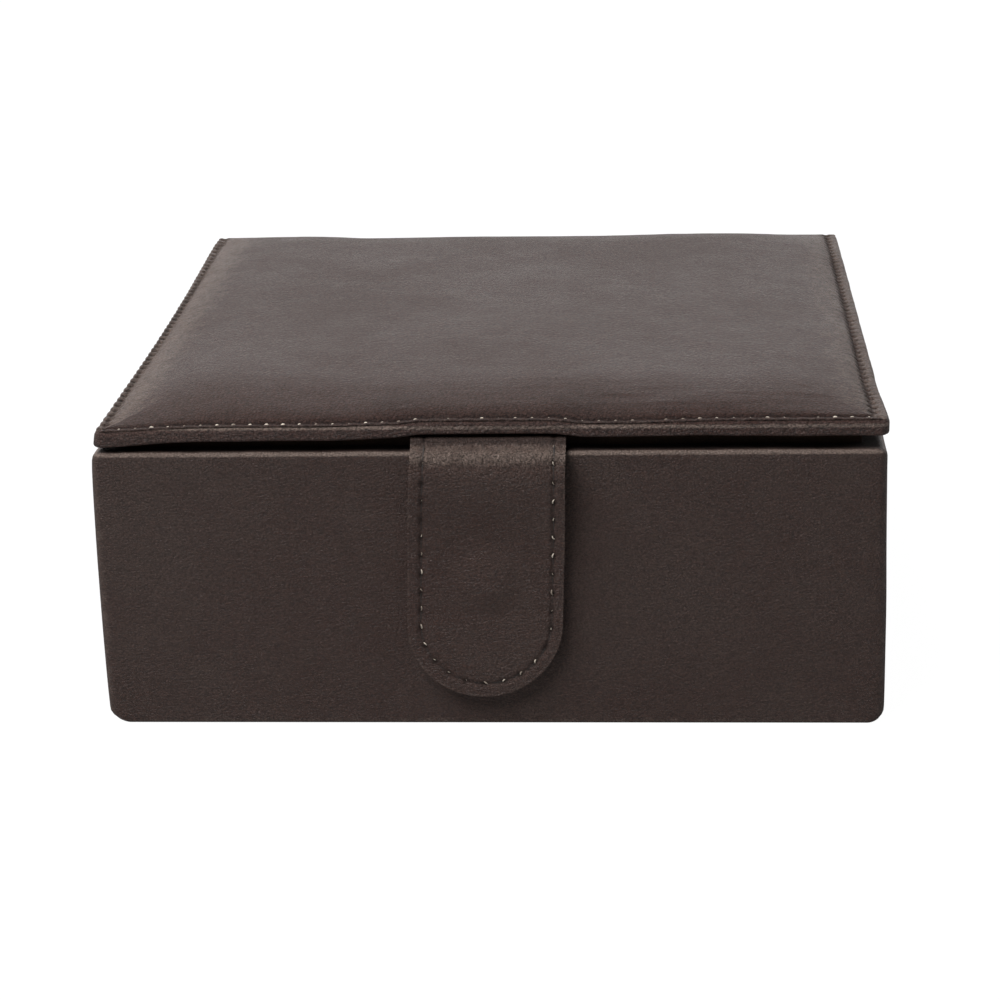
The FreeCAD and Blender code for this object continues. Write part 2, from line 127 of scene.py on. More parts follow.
def angle(name, text, degrees):
    """An angle, given in degrees."""
    return FloatProperty(name=name, description=text, default=math.radians(degrees), subtype="ANGLE")


class CoverSettings(PropertyGroup):
    """Leather round the walls and over the back."""

    corner: length("Corner Radius", "Radius of the upright corners", 2.0 * MM)
    rim: length("Rim Radius", "Radius of the upper outer edge", 1.05 * MM)
    foot: length("Foot Radius", "Radius of the lower outer edge", 0.8 * MM)
    lip: length("Mouth Radius", "Radius of the leather's turn into the drawer's mouth", 0.7 * MM)
    bulge: length("Corner Bulge", "How far the front upright corners stand out at half height", 0.7 * MM)
    unevenness: length("Unevenness", "Height of the slow waves in the glued leather", 0.10 * MM)
    cell: length("Cell", "Spacing of the mesh", 2.4 * MM)


class LidSettings(PropertyGroup):
    """Padded lid."""

    corner: length("Corner Radius", "Radius of the lid's corners in plan", 2.4 * MM)
    seam_front: length("Front Seam", "From the lid's front edge to its row of stitches", 2.3 * MM)
    seam_left: length("Left Seam", "From the lid's left edge to its row of stitches", 2.3 * MM)
    seam_right: length("Right Seam", "From the lid's right edge to its row of stitches", 3.1 * MM)
    pad_rise: length("Pad Rise", "Height of the crown over the stitches", 4.1 * MM)
    pad_run: length("Side Slope", "Run of the crown's slope beside the stitches", 28.0 * MM)
    front_run: length("Front Slope", "Run of the crown's slope behind the front stitches", 23.0 * MM)
    rear_run: length("Rear Slope", "Run of the crown's slope at the spine", 26.0 * MM)
    rear_dip: length("Rear Dip", "How far the middle of the rear edge sinks", 0.55 * MM)
    waves: length("Waves", "Height of the slow waves in the padded leather", 0.42 * MM)
    strap_lift: length("Strap Lift", "How far the strap's root lifts the front edge", 0.7 * MM)
    droop: length("Droop", "How far the front left corner sags", 0.9 * MM)
    hang: length("Wrap Hang", "How much further the leather under that corner hangs", 0.6 * MM)
    ease: amount("Ease", "Share by which the top leather is larger than its pad", 0.0016)
    waist: length("Waist", "How far the left edge is drawn in", 1.1 * MM)
    groove: length("Seam Groove", "How deep the stitches pull the leather down", 0.45 * MM)
    pucker: length("Pucker", "Depth of the folds at the stitch holes", 0.26 * MM)


class StrapSettings(PropertyGroup):
    """Snap strap."""

    seam: length("Seam", "From the strap's edge to its stitches", 2.6 * MM)
    slant: length("Slant", "How far the tip hangs to the left", 1.9 * MM)
    flare: length("Flare", "How much wider each side is at half length", 0.3 * MM)
    bump: length("Snap Bump", "Height of the leather over the hidden cap", 0.75 * MM)
    lean: length("Lean", "How far the strap stands off under the lid's edge", 1.9 * MM)
    tuck: length("Tuck", "How far the strap's bend is drawn in under the lid", 1.5 * MM)
    groove: length("Seam Groove", "How deep the stitches pull the leather down", 0.30 * MM)
    pitch: length("Stitch Pitch", "From one stitch hole to the next", 4.1 * MM)
    cell: length("Cell", "Spacing of the mesh along the strap", 0.85 * MM)


class ThreadSettings(PropertyGroup):
    """Sewing thread."""

    pitch: length("Pitch", "From one of the lid's stitch holes to the next", 3.42 * MM)
    thickness: length("Thickness", "Thickness of the thread", 0.42 * MM)
    brown: colour("Top Thread", "Colour of the thread on the face", (0.016, 0.010, 0.008))
    cream: colour("Under Thread", "Colour of the thread that shows in the holes", (0.66, 0.58, 0.48))
    seed: IntProperty(name="Seed", description="Seed of the stitches' unevenness", default=4, min=0)


class LeatherSettings(PropertyGroup):
    """Finish of the leather."""

    base: colour("Colour", "Colour of the leather", (0.0450, 0.0256, 0.0200))
    # The worn colour also paints the highlights on the body's rim, the lid's edge and slopes, and the strap's
    # bend
    worn_and_highlight: colour("Worn Colour", "Colour where the leather is rubbed", (0.140, 0.102, 0.085))
    pebble: length("Pebble Size", "Size of the grain's cells", 0.85 * MM)
    relief: length("Relief", "Height of the grain", 0.075 * MM)
    roughness: amount("Roughness", "Roughness of the leather", 0.44, min=0.0, max=1.0)


class SuedeSettings(PropertyGroup):
    """Finish of the suede, the felt and the boards."""

    suede: colour("Suede", "Colour of the suede", (0.034, 0.0205, 0.0140))
    felt: colour("Felt", "Colour of the felt", (0.016, 0.013, 0.012))
    fibre: colour("Board", "Colour of the fibre board", (0.30, 0.205, 0.125))


class StageSettings(PropertyGroup):
    """Camera, light and floor."""

    reach: length("Camera Distance", "Camera's distance in front of the box's middle", 609.1 * MM)
    aside: length("Camera Aside", "Camera's place to the right of the middle", 37.3 * MM)
    height: length("Camera Height", "Camera's height above the table", 226.3 * MM)
    yaw: angle("Yaw", "Camera's turn to the right", -3.80)
    pitch: angle("Pitch", "Camera's tilt down", 18.54)
    roll: angle("Roll", "Camera's roll", 1.45)
    lens: amount("Lens", "Focal length in millimetres", 95.8, min=1.0)
    room: amount("Room Light", "Strength of the white room", 0.10, min=0.0)


def settings_of(part):
    """The scene's settings for one part of the box."""
    return getattr(bpy.context.scene, f"cufflink_{part}")


# ---------------------------------------------------------------- mesh helpers
def smooth_step(t):
    """0 below 0, 1 above 1, smooth between."""
    t = np.clip(t, 0.0, 1.0)
    return t * t * (3.0 - 2.0 * t)


def ramp(value, start, run):
    """0 up to the start, rising smoothly to 1 over the run."""
    return smooth_step((value - start) / run)


def fade(value, end, run):
    """0 from the end on, falling smoothly from 1 over the run before it."""
    return smooth_step((end - value) / run)


def bell(distance, width, power=2):
    """1 at no distance, falling to about a third at the width."""
    return np.exp(-((distance / width) ** power))


def quarter(count):
    """That many angles from 0 to 90 degrees."""
    return np.radians(np.linspace(0.0, 90.0, count))


def near_holes(along, pitch):
    """1 at each stitch hole and 0 halfway between two."""
    return 0.5 + 0.5 * np.cos(2.0 * np.pi * along / pitch)


def at_height(plan, z):
    """Plan points lifted to one height."""
    return np.column_stack([plan, np.full(len(plan), z)])


def steps(start, stop, cell):
    """Evenly spaced values from start to stop, about cell apart."""
    count = max(2, int(round(abs(stop - start) / cell)) + 1)
    return np.linspace(start, stop, count)


def joined(*parts):
    """One rising or falling list without repeats at the joints."""
    values = [parts[0][0]]
    for part in parts:
        values.extend(v for v in part if abs(v - values[-1]) > 1e-7)
    return np.array(values)


def banded(start, first, last, stop, fine, cell):
    """Values from start to stop, fine up to first and from last on, and a cell apart between."""
    return joined(steps(start, first, fine), steps(first, last, cell), steps(last, stop, fine))


def rough(points, size, seed=0.0):
    """Smooth noise from -1 to 1 at each point, with features of that size."""
    shift = Vector((seed * 3.7, seed * 1.9, seed * 5.3))
    values = [noise.noise(Vector(p) / size + shift) for p in points.reshape(-1, 3)]
    return np.array(values).reshape(points.shape[:-1])


def grid_faces(rows, cols, keep=None):
    """Quads between the points of a grid that is numbered row by row."""
    r, c = np.meshgrid(np.arange(rows - 1), np.arange(cols - 1), indexing="ij")
    first = r * cols + c
    quads = np.stack([first, first + 1, first + cols + 1, first + cols], -1)
    if keep is not None:
        quads = quads[keep]
    return quads.reshape(-1, 4)


def new_object(name, mesh, material):
    """Links a mesh as an object with one material."""
    piece = bpy.data.objects.new(name, mesh)
    bpy.context.scene.collection.objects.link(piece)
    mesh.materials.clear()
    mesh.materials.append(material)
    return piece


@contextmanager
def edited(mesh):
    """The mesh opened for bmesh operations."""
    shape = bmesh.new()
    shape.from_mesh(mesh)
    yield shape
    shape.to_mesh(mesh)
    shape.free()


def make_mesh(name, points, faces, material, flip=False):
    """An object from points and faces, with coincident points merged."""
    mesh = bpy.data.meshes.new(name)
    mesh.from_pydata(np.asarray(points).reshape(-1, 3).tolist(), [], [list(map(int, f)) for f in faces])
    with edited(mesh) as shape:
        bmesh.ops.remove_doubles(shape, verts=shape.verts, dist=2e-6)
        bmesh.ops.dissolve_degenerate(shape, edges=shape.edges, dist=1e-7)
        if flip:
            bmesh.ops.reverse_faces(shape, faces=shape.faces)
    return new_object(name, mesh, material_of(material))


def outward(piece):
    """Turns the faces of a closed mesh outwards."""
    with edited(piece.data) as shape:
        bmesh.ops.recalc_face_normals(shape, faces=shape.faces)


def thicken(piece, thickness):
    """Gives an open sheet its thickness, behind its face."""
    solid = piece.modifiers.new("Thickness", "SOLIDIFY")
    solid.thickness = thickness
    solid.offset = -1.0
    solid.use_quality_normals = True


def round_off(piece, radius, segments=3, angle=50.0):
    """Rounds the edges that are sharper than the angle."""
    bevel = piece.modifiers.new("Rounded Edges", "BEVEL")
    bevel.width = radius
    bevel.segments = segments
    bevel.limit_method = "ANGLE"
    bevel.angle_limit = math.radians(angle)
    bevel.use_clamp_overlap = True


def settle(piece, sharp=40.0):
    """Applies the modifiers and leaves a smooth shaded mesh."""
    graph = bpy.context.evaluated_depsgraph_get()
    mesh = bpy.data.meshes.new_from_object(piece.evaluated_get(graph), depsgraph=graph)
    piece.modifiers.clear()
    mesh.name = piece.name
    piece.data = mesh
    mesh.shade_smooth()
    mesh.set_sharp_from_angle(angle=math.radians(sharp))
    return piece


def coordinates(mesh):
    """The vertices' places as an array."""
    co = np.empty(len(mesh.vertices) * 3)
    mesh.vertices.foreach_get("co", co)
    return co.reshape(-1, 3)


def store(piece, name, values):
    """Keeps one value for each vertex, for the material to read."""
    attribute = piece.data.attributes.new(name, "FLOAT", "POINT")
    attribute.data.foreach_set("value", np.asarray(values, dtype=np.float32))


def finish_piece(piece, body, slot, *nodes, wear=None, crease=None, hole=None):
    """Stores what the material reads, and fixes the piece to its body."""
    rest = coordinates(piece.data)
    attribute = piece.data.attributes.new("rest", "FLOAT_VECTOR", "POINT")
    attribute.data.foreach_set("vector", rest.astype(np.float32).ravel())
    # hole darkens the colour where shade is painted in; wear lightens it where the leather is rubbed and
    # where highlights are painted in
    for name, rule in (("wear", wear), ("crease", crease), ("hole", hole)):
        store(piece, name, np.zeros(len(rest)) if rule is None else rule(rest))
    if nodes:
        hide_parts(*nodes)
    if body:
        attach(piece, body)
    return piece


def rounded_copy(node, name, material, radius):
    """A copy of a CAD node with softened edges."""
    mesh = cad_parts[node].data.copy()
    with edited(mesh) as shape:
        bmesh.ops.remove_doubles(shape, verts=shape.verts, dist=1e-6)
        bmesh.ops.dissolve_limit(shape, angle_limit=math.radians(1.0), verts=shape.verts, edges=shape.edges)
    mesh.name = name
    piece = new_object(name, mesh, material_of(material))
    round_off(piece, radius, angle=40.0)
    return settle(piece)


# ---------------------------------------------------------------- materials
def material_of(name):
    """One of the box's materials."""
    return bpy.data.materials[name]


def feed(tree, socket, value):
    """Links an output to an input, or sets the input's own value."""
    if isinstance(value, bpy.types.NodeSocket):
        tree.links.new(value, socket)
    elif value is not None:
        socket.default_value = value


def add_node(tree, kind, inputs=None, **settings):
    """A node with its settings. Inputs go by name or number, each an output or a value."""
    node = tree.nodes.new(kind)
    for key, value in settings.items():
        setattr(node, key, value)
    for key, value in (inputs or {}).items():
        feed(tree, node.inputs[key], value)
    return node


def new_group(name, inputs, outputs):
    """A shader node group with what it is given and what it makes, both by socket name."""
    group = bpy.data.node_groups.new(name, "ShaderNodeTree")
    for label, kind, default in inputs:
        socket = group.interface.new_socket(name=label, in_out="INPUT", socket_type=f"NodeSocket{kind}")
        if default is not None:
            socket.default_value = default
    for label in outputs:
        group.interface.new_socket(name=label, in_out="OUTPUT", socket_type="NodeSocketFloat")
    return group, group.nodes.new("NodeGroupInput").outputs, group.nodes.new("NodeGroupOutput").inputs


def group_node(tree, name, inputs):
    """The outputs of a node group that is fed with these inputs."""
    return add_node(tree, "ShaderNodeGroup", inputs, node_tree=bpy.data.node_groups[name]).outputs


def math_node(tree, operation, *values, clamp=False):
    """A Math node fed by outputs or numbers."""
    inputs = dict(enumerate(values))
    return add_node(tree, "ShaderNodeMath", inputs, operation=operation, use_clamp=clamp).outputs[0]


def scaled(tree, vector, factor):
    """The vector times a number or a triple."""
    if isinstance(factor, tuple):
        node = add_node(tree, "ShaderNodeVectorMath", {0: vector, 1: factor}, operation="MULTIPLY")
    else:
        node = add_node(tree, "ShaderNodeVectorMath", {0: vector, "Scale": factor}, operation="SCALE")
    return node.outputs[0]


def noise_node(tree, vector, scale, detail, roughness, distortion=0.0):
    """Noise, as its factor from 0 to 1."""
    inputs = {"Vector": vector, "Scale": scale, "Detail": detail, "Roughness": roughness}
    return add_node(tree, "ShaderNodeTexNoise", {**inputs, "Distortion": distortion}).outputs["Fac"]


def voronoi_node(tree, vector, feature, scale):
    """Distances in a pattern of cells."""
    inputs = {"Vector": vector, "Scale": scale}
    return add_node(tree, "ShaderNodeTexVoronoi", inputs, feature=feature).outputs["Distance"]


def range_node(tree, value, low, high, out_low=0.0, out_high=1.0):
    """Maps a value from one range to another, clamped."""
    inputs = {"Value": value, "From Min": low, "From Max": high, "To Min": out_low, "To Max": out_high}
    return add_node(tree, "ShaderNodeMapRange", inputs, interpolation_type="SMOOTHSTEP").outputs["Result"]


def mix_colour(tree, factor, first, second, blend="MIX"):
    """Mixes two colours, each an output or a triple."""
    first, second = ((*value, 1.0) if isinstance(value, tuple) else value for value in (first, second))
    inputs = {0: factor, 6: first, 7: second}
    return add_node(tree, "ShaderNodeMix", inputs, data_type="RGBA", blend_type=blend).outputs[2]


def shade(colour, factor):
    """The colour times a number or a triple, at most white."""
    factors = factor if isinstance(factor, tuple) else (factor,) * 3
    return tuple(min(1.0, c * k) for c, k in zip(colour, factors))


def leather_grain_group():
    """Pebbled grain in units of one pebble: soft cells, pores and fine wrinkles, and a mask of painted shade
    in the valleys and between the folds.
    """
    group, given, made = new_group(
        "Leather Grain",
        [
            ("Vector", "Vector", None),
            ("Wrinkles", "Float", 0.5),
            ("Crease", "Float", 0.0),
            ("Hole", "Float", 0.0),
        ],
        ["Height", "Valleys", "Speckle"],
    )
    calc, cloud, mapped = (partial(kind, group) for kind in (math_node, noise_node, range_node))
    place, crease = given["Vector"], given["Crease"]
    drift = add_node(group, "ShaderNodeTexNoise", {"Vector": place, "Scale": 0.9}).outputs["Color"]
    inputs = {0: drift, 1: (0.55, 0.55, 0.55), 2: place}
    moved = add_node(group, "ShaderNodeVectorMath", inputs, operation="MULTIPLY_ADD").outputs[0]
    dome = mapped(voronoi_node(group, moved, "SMOOTH_F1", 1.0), 0.0, 0.75, 1.0, 0.0)
    valley = mapped(voronoi_node(group, moved, "DISTANCE_TO_EDGE", 1.0), 0.0, 0.16, 1.0, 0.0)
    fine = mapped(voronoi_node(group, moved, "DISTANCE_TO_EDGE", 2.3), 0.0, 0.14, 1.0, 0.0)
    pores = cloud(place, 3.4, 2.0, 0.6)
    wrinkle = cloud(scaled(group, place, (0.16, 0.5, 0.5)), 1.0, 3.0, 0.62, 0.6)
    ridge = mapped(calc("ABSOLUTE", calc("SUBTRACT", wrinkle, 0.5)), 0.0, 0.06, 1.0, 0.0)
    inputs = {"Vector": place, "Angle": math.radians(24.0)}
    slanted = add_node(group, "ShaderNodeVectorRotate", inputs, rotation_type="Y_AXIS").outputs[0]
    folds = mapped(cloud(scaled(group, slanted, (1.5, 1.5, 0.32)), 0.9, 2.0, 0.5, 0.4), 0.40, 0.62)
    depth = calc("MULTIPLY", ridge, given["Wrinkles"])
    lift = calc("MULTIPLY", folds, crease)
    height = calc("MULTIPLY", dome, 0.55)
    for part, share in (
        (valley, -0.5), (fine, -0.18), (pores, 0.45), (depth, -0.7), (lift, 2.6), (given["Hole"], -2.0)
    ):
        height = calc("MULTIPLY_ADD", part, share, height)
    shade_between_folds = calc("MULTIPLY", calc("SUBTRACT", 1.0, folds), crease)
    speckle = cloud(scaled(group, place, (0.7, 1.0, 1.2)), 1.9, 3.0, 0.7)
    feed(group, made["Height"], height)
    # Mask of the painted shade in the grain's valleys, along the wrinkles and between the folds
    feed(group, made["Valleys"], calc("MAXIMUM", calc("MAXIMUM", valley, depth), shade_between_folds))
    feed(group, made["Speckle"], mapped(speckle, 0.34, 0.66))


def mottle_group():
    """Slow unevenness of a dyed hide, as a factor about 0.5."""
    group, given, made = new_group("Hide Mottle", [("Vector", "Vector", None)], ["Value"])
    broad = noise_node(group, given["Vector"], 22.0, 3.0, 0.55, 0.4)
    close = noise_node(group, given["Vector"], 130.0, 3.0, 0.6)
    value = math_node(group, "MULTIPLY_ADD", close, 0.38, math_node(group, "MULTIPLY", broad, 0.62))
    feed(group, made["Value"], value)


def rub_and_highlight_group():
    """Broken-up rubbing and painted highlight where the wear-and-highlight value is high."""
    group, given, made = new_group("Edge Rub And Highlight", [("Vector", "Vector", None), ("Wear", "Float", 0.0)], ["Mask"])
    calc, wear = partial(math_node, group), given["Wear"]
    patch = noise_node(group, given["Vector"], 420.0, 4.0, 0.7)
    broken = calc("ADD", wear, calc("MULTIPLY_ADD", patch, 0.9, -0.45))
    mask = range_node(group, broken, 0.25, 1.0)
    feed(group, made["Mask"], calc("MULTIPLY", mask, range_node(group, wear, 0.0, 0.12)))


def nap_group():
    """Short brushed nap: a shade and a height."""
    group, given, made = new_group("Brushed Nap", [("Vector", "Vector", None)], ["Shade", "Height"])
    calc = partial(math_node, group)
    brushed = noise_node(group, scaled(group, given["Vector"], (1.0, 0.45, 1.0)), 75.0, 3.0, 0.6, 0.8)
    fuzz = noise_node(group, given["Vector"], 2600.0, 3.0, 0.75)
    feed(group, made["Shade"], calc("MULTIPLY_ADD", fuzz, 0.5, calc("MULTIPLY", brushed, 0.6)))
    feed(group, made["Height"], calc("MULTIPLY_ADD", brushed, 0.35, fuzz))


def new_material(name, roughness, metallic=0.0, sheen=0.0, gloss=0.5):
    """The tree and the shader of a new material."""
    material = bpy.data.materials.new(name)
    material.use_nodes = True
    tree = material.node_tree
    shader = tree.nodes["Principled BSDF"]
    looks = {"Roughness": roughness, "Metallic": metallic, "Sheen Weight": sheen, "Specular IOR Level": gloss}
    for key, value in looks.items():
        shader.inputs[key].default_value = value
    return tree, shader


def attribute(tree, name, output="Fac"):
    """A value that the mesh stores."""
    return add_node(tree, "ShaderNodeAttribute", attribute_name=name).outputs[output]


def rest_place(tree):
    """Where each point lies when the box is shut."""
    return attribute(tree, "rest", "Vector")


def object_place(tree):
    """Where each point lies on a piece that never changes shape."""
    return tree.nodes.new("ShaderNodeTexCoord").outputs["Object"]


def bump(tree, shader, height, distance, strength=1.0):
    """Relief of that height in metres on the shader's normal."""
    inputs = {"Height": height, "Distance": distance, "Strength": strength}
    feed(tree, shader.inputs["Normal"], add_node(tree, "ShaderNodeBump", inputs).outputs["Normal"])


def leather_material(
    name, settings, pebble=1.0, relief=1.0, wrinkles=0.5, tint=(1.0, 1.0, 1.0), gloss=0.0, speckle=0.25
):
    """Dyed smooth leather: pebble and relief are shares of the settings' own."""
    tree, shader = new_material(name, settings.roughness, gloss=0.35)
    place, hole = rest_place(tree), attribute(tree, "hole")
    grain = group_node(tree, "Leather Grain", {
        "Vector": scaled(tree, place, 1.0 / (settings.pebble * pebble)),
        "Wrinkles": wrinkles,
        "Crease": attribute(tree, "crease"),
        "Hole": hole,
    })
    mottle = group_node(tree, "Hide Mottle", {"Vector": place})["Value"]
    rub_and_highlight = group_node(tree, "Edge Rub And Highlight", {"Vector": place, "Wear": attribute(tree, "wear")})["Mask"]
    base = shade(settings.base, tuple(tint))
    dark, light = shade(base, (0.92, 0.78, 0.75)), shade(base, (1.13, 1.20, 1.24))
    hide = mix_colour(tree, range_node(tree, mottle, 0.32, 0.68), dark, light)
    # Painted shade in the grain's valleys, along the wrinkles and between the folds
    hide = mix_colour(tree, math_node(tree, "MULTIPLY", grain["Valleys"], 0.4), hide, shade(base, 0.5))
    # Rubbing and painted highlight in the worn colour
    hide = mix_colour(tree, rub_and_highlight, hide, tuple(settings.worn_and_highlight))
    grey = mix_colour(tree, grain["Speckle"], (1.0 - speckle,) * 3, (1.0 + speckle,) * 3)
    hide = mix_colour(tree, 1.0, hide, grey, "MULTIPLY")
    # Painted shade: the colour falls to near black where the hole value is high
    feed(tree, shader.inputs["Base Color"], mix_colour(tree, hole, hide, shade(base, 0.08)))
    least, most = settings.roughness - 0.05 - gloss, settings.roughness + 0.07 - gloss
    dull = range_node(tree, mottle, 0.3, 0.7, least, most)
    dull = math_node(tree, "MULTIPLY_ADD", grain["Valleys"], 0.12, dull)
    feed(tree, shader.inputs["Roughness"], math_node(tree, "MULTIPLY_ADD", hole, 0.6, dull, clamp=True))
    bump(tree, shader, grain["Height"], settings.relief * relief)


def suede_material(name, base):
    """Cloth with a short brushed nap."""
    tree, shader = new_material(name, 0.92, sheen=0.1, gloss=0.2)
    shader.inputs["Sheen Roughness"].default_value = 0.45
    nap = group_node(tree, "Brushed Nap", {"Vector": rest_place(tree)})
    cloth = mix_colour(tree, range_node(tree, nap["Shade"], 0.38, 0.72), shade(base, 0.68), shade(base, 1.3))
    feed(tree, shader.inputs["Base Color"], cloth)
    bump(tree, shader, nap["Height"], 0.12 * MM, 0.8)


def board_material(name, base):
    """Pressed fibre board with short chips."""
    tree, shader = new_material(name, 0.8)
    place = object_place(tree)
    chips = noise_node(tree, scaled(tree, place, (1.0, 1.0, 2.2)), 620.0, 4.0, 0.7, 0.5)
    broad = noise_node(tree, place, 60.0, 2.0, 0.5)
    tone = math_node(tree, "MULTIPLY_ADD", broad, 0.3, math_node(tree, "MULTIPLY", chips, 0.7))
    wood = mix_colour(tree, range_node(tree, tone, 0.35, 0.65), shade(base, 0.7), shade(base, 1.2))
    feed(tree, shader.inputs["Base Color"], wood)
    bump(tree, shader, chips, 0.06 * MM)


def metal_material(name, base, roughness):
    """Burnished brass with fine scratches and dark tarnish."""
    tree, shader = new_material(name, roughness, metallic=1.0)
    place = object_place(tree)
    tarnish = noise_node(tree, place, 500.0, 3.0, 0.6)
    scratch = noise_node(tree, scaled(tree, place, (1.0, 1.0, 9.0)), 1500.0, 2.0, 0.5)
    tone = mix_colour(tree, range_node(tree, tarnish, 0.35, 0.7), base, shade(base, 0.55))
    dull = range_node(tree, tarnish, 0.3, 0.7, roughness - 0.08, roughness + 0.14)
    feed(tree, shader.inputs["Base Color"], tone)
    feed(tree, shader.inputs["Roughness"], dull)
    bump(tree, shader, scratch, 0.004 * MM)


def thread_material(name, base, soiled):
    """Waxed thread with fine fibres; some stitches are more soiled than others."""
    tree, shader = new_material(name, 0.6, sheen=0.1)
    place = rest_place(tree)
    fibre = noise_node(tree, place, 5200.0, 2.0, 0.6)
    dirt = noise_node(tree, place, 330.0, 1.0, 0.5)
    tone = mix_colour(tree, range_node(tree, fibre, 0.35, 0.65), shade(base, 0.7), shade(base, 1.2))
    tone = mix_colour(tree, range_node(tree, dirt, 0.42, 0.60, 0.0, 0.85), tone, soiled)
    feed(tree, shader.inputs["Base Color"], tone)
    bump(tree, shader, fibre, 0.05 * MM)


# ---------------------------------------------------------------- rings and loops
def rounded_loop(x0, x1, y0, y1, radius, cell):
    """Points round a rounded rectangle, anticlockwise from the front left."""
    radius = max(radius, 0.15 * MM)
    along_x, along_y = (max(2, int(round(side / cell))) for side in (0.160, 0.166))
    corners = (
        (x0 + radius, y0 + radius, 180), (x1 - radius, y0 + radius, 270),
        (x1 - radius, y1 - radius, 0), (x0 + radius, y1 - radius, 90),
    )
    points = []
    for i, (x, y, start) in enumerate(corners):
        turn = np.radians(start + np.linspace(0.0, 90.0, 9))
        out = np.stack([np.cos(turn), np.sin(turn)], 1)
        points.extend(np.array((x, y)) + radius * out)
        x2, y2, _ = corners[(i + 1) % 4]
        first, last = points[-1], np.array((x2, y2)) + radius * out[-1]
        count = along_x if i % 2 == 0 else along_y
        points.extend(first + (last - first) * t for t in np.linspace(0.0, 1.0, count + 1)[1:-1])
    return np.array(points)


def loop_rings(rings):
    """Quads between closed loops that follow one another, each a list of 3-D points."""
    count = len(rings[0])
    faces = []
    for first in range(0, (len(rings) - 1) * count, count):
        for i in range(count):
            j = (i + 1) % count
            faces.append((first + i, first + j, first + count + j, first + count + i))
    return np.concatenate(rings), faces


# ---------------------------------------------------------------- shape of the lid
def corner_sag(x, y):
    """1 at the lid's front left corner, fading along both edges."""
    return ramp(-x, 0.052, 0.0305) ** 1.5 * ramp(-y, 0.0, 0.080)


def lid_warp(points):
    """Bends points of the lid: lifted by the strap, sagging at the left, drawn in at the waist.

    Each ramp or fade gives the place where an effect starts or ends, and the run over which it grows.
    """
    lid = settings_of("lid")
    x, y = points[..., 0], points[..., 1]
    near_front = ramp(-y, 0.050, 0.034)
    lift = lid.strap_lift * fade(np.abs(x - 0.4 * MM), 0.0205, 7.5 * MM) * near_front
    sag = corner_sag(x, y)
    bow = 0.50 * MM * ramp(x, 0.028, 0.022) - 0.36 * MM * ramp(-x, 0.018, 0.016)
    hump = np.cos(np.clip((y + 0.020) / 0.085, -1.0, 1.0) * np.pi / 2) ** 2
    drawn = lid.waist * hump - 0.65 * MM * ramp(y, 0.025, 0.055)
    drawn *= ramp(-x, 0.046, 0.036)
    out = 0.5 * MM * ramp(x, 0.050, 0.030) * ramp(-y, 0.058, 0.025)
    dip = ramp(x, -0.054, 0.014) * (1.0 - 0.65 * ramp(x, 0.008, 0.035))
    corner = ramp(-x, 0.050, 0.020)
    behind = ramp(y, 0.050, 0.030) * (0.5 * MM * corner - lid.rear_dip * dip)
    bent = points.copy()
    bent[..., 0] += drawn + out
    bent[..., 2] += lift - lid.droop * sag + bow * near_front + behind
    return bent


TOP_X = TOP_HIGH[0]
TOP_FRONT, TOP_REAR = TOP_LOW[1], TOP_HIGH[1]
MARGIN_Z = WRAP_TOP + 0.45 * MM  # top leather outside its stitches
FIRST_HOLE = -77.2 * MM  # left end of the front row of stitches
REAR_ROLL = 1.7 * MM  # radius of the pad's turn down at the rear
STRAP_SIDE = 0.019  # where the strap's sides press on the lid's leather
LEFT_SIDE, RIGHT_SIDE, FRONT_SIDE = range(3)  # which row of stitches a place is nearest to


def seam_insets():
    """From the top leather's own edges to the stitches: front, left, right."""
    lid = settings_of("lid")
    inset = RIGHT - TOP_X
    return lid.seam_front - inset, lid.seam_left - inset, lid.seam_right - inset


def lid_height(x, y):
    """Height of the lid's top leather, before the board is bent."""
    lid = settings_of("lid")
    front, left, right = seam_insets()

    def slope(inside, run, roll=0.25):
        t = np.clip(inside / run, 0.0, 1.0)
        near = 1.0 - np.exp(-np.maximum(inside, 0.0) / (1.6 * MM))
        return roll * near + (1.0 - roll) * (1.0 - (1.0 - t) ** 2.2)

    d_left, d_right, d_front, d_rear = x + TOP_X, TOP_X - x, y - TOP_FRONT, TOP_REAR - y
    crown = (
        slope(d_left - left, lid.pad_run)
        * slope(d_right - right, lid.pad_run)
        * slope(d_front - front, lid.front_run, 0.04)
        * slope(d_rear - 0.8 * MM, lid.rear_run, 0.0)
    )
    rear = np.clip(REAR_ROLL - d_rear, 0.0, REAR_ROLL)
    fall = REAR_ROLL - np.sqrt(np.maximum(REAR_ROLL**2 - rear**2, 0.0))
    return MARGIN_Z + lid.pad_rise * crown - fall, crown


def seam_lines(cell):
    """Plan points of the lid's stitching: left side, front and right side, each begun at a stitch hole."""
    front, left, right = seam_insets()
    pitch = settings_of("thread").pitch
    x0, x1, y0 = -TOP_X + left, TOP_X - right, TOP_FRONT + front
    side = y0 + 0.8 * pitch + np.arange(0.0, 48.2 * pitch, cell)
    across = FIRST_HOLE + np.arange(0.0, x1 - FIRST_HOLE - 0.3 * pitch, cell)
    return (
        np.column_stack([np.full(len(side), x0), side]),
        np.column_stack([across, np.full(len(across), y0)]),
        np.column_stack([np.full(len(side), x1), side]),
    )


def seam_offsets(x, y):
    """Signed distance inside the lid's stitching, the place along it, and which side it is on."""
    front, left, right = seam_insets()
    inside = np.stack([x + TOP_X - left, TOP_X - right - x, y - TOP_FRONT - front])
    nearest = np.argmin(inside, axis=0)
    pitch = settings_of("thread").pitch
    along = np.where(nearest == FRONT_SIDE, x - FIRST_HOLE, y - TOP_FRONT - front - 0.8 * pitch)
    return np.min(inside, axis=0), along, nearest


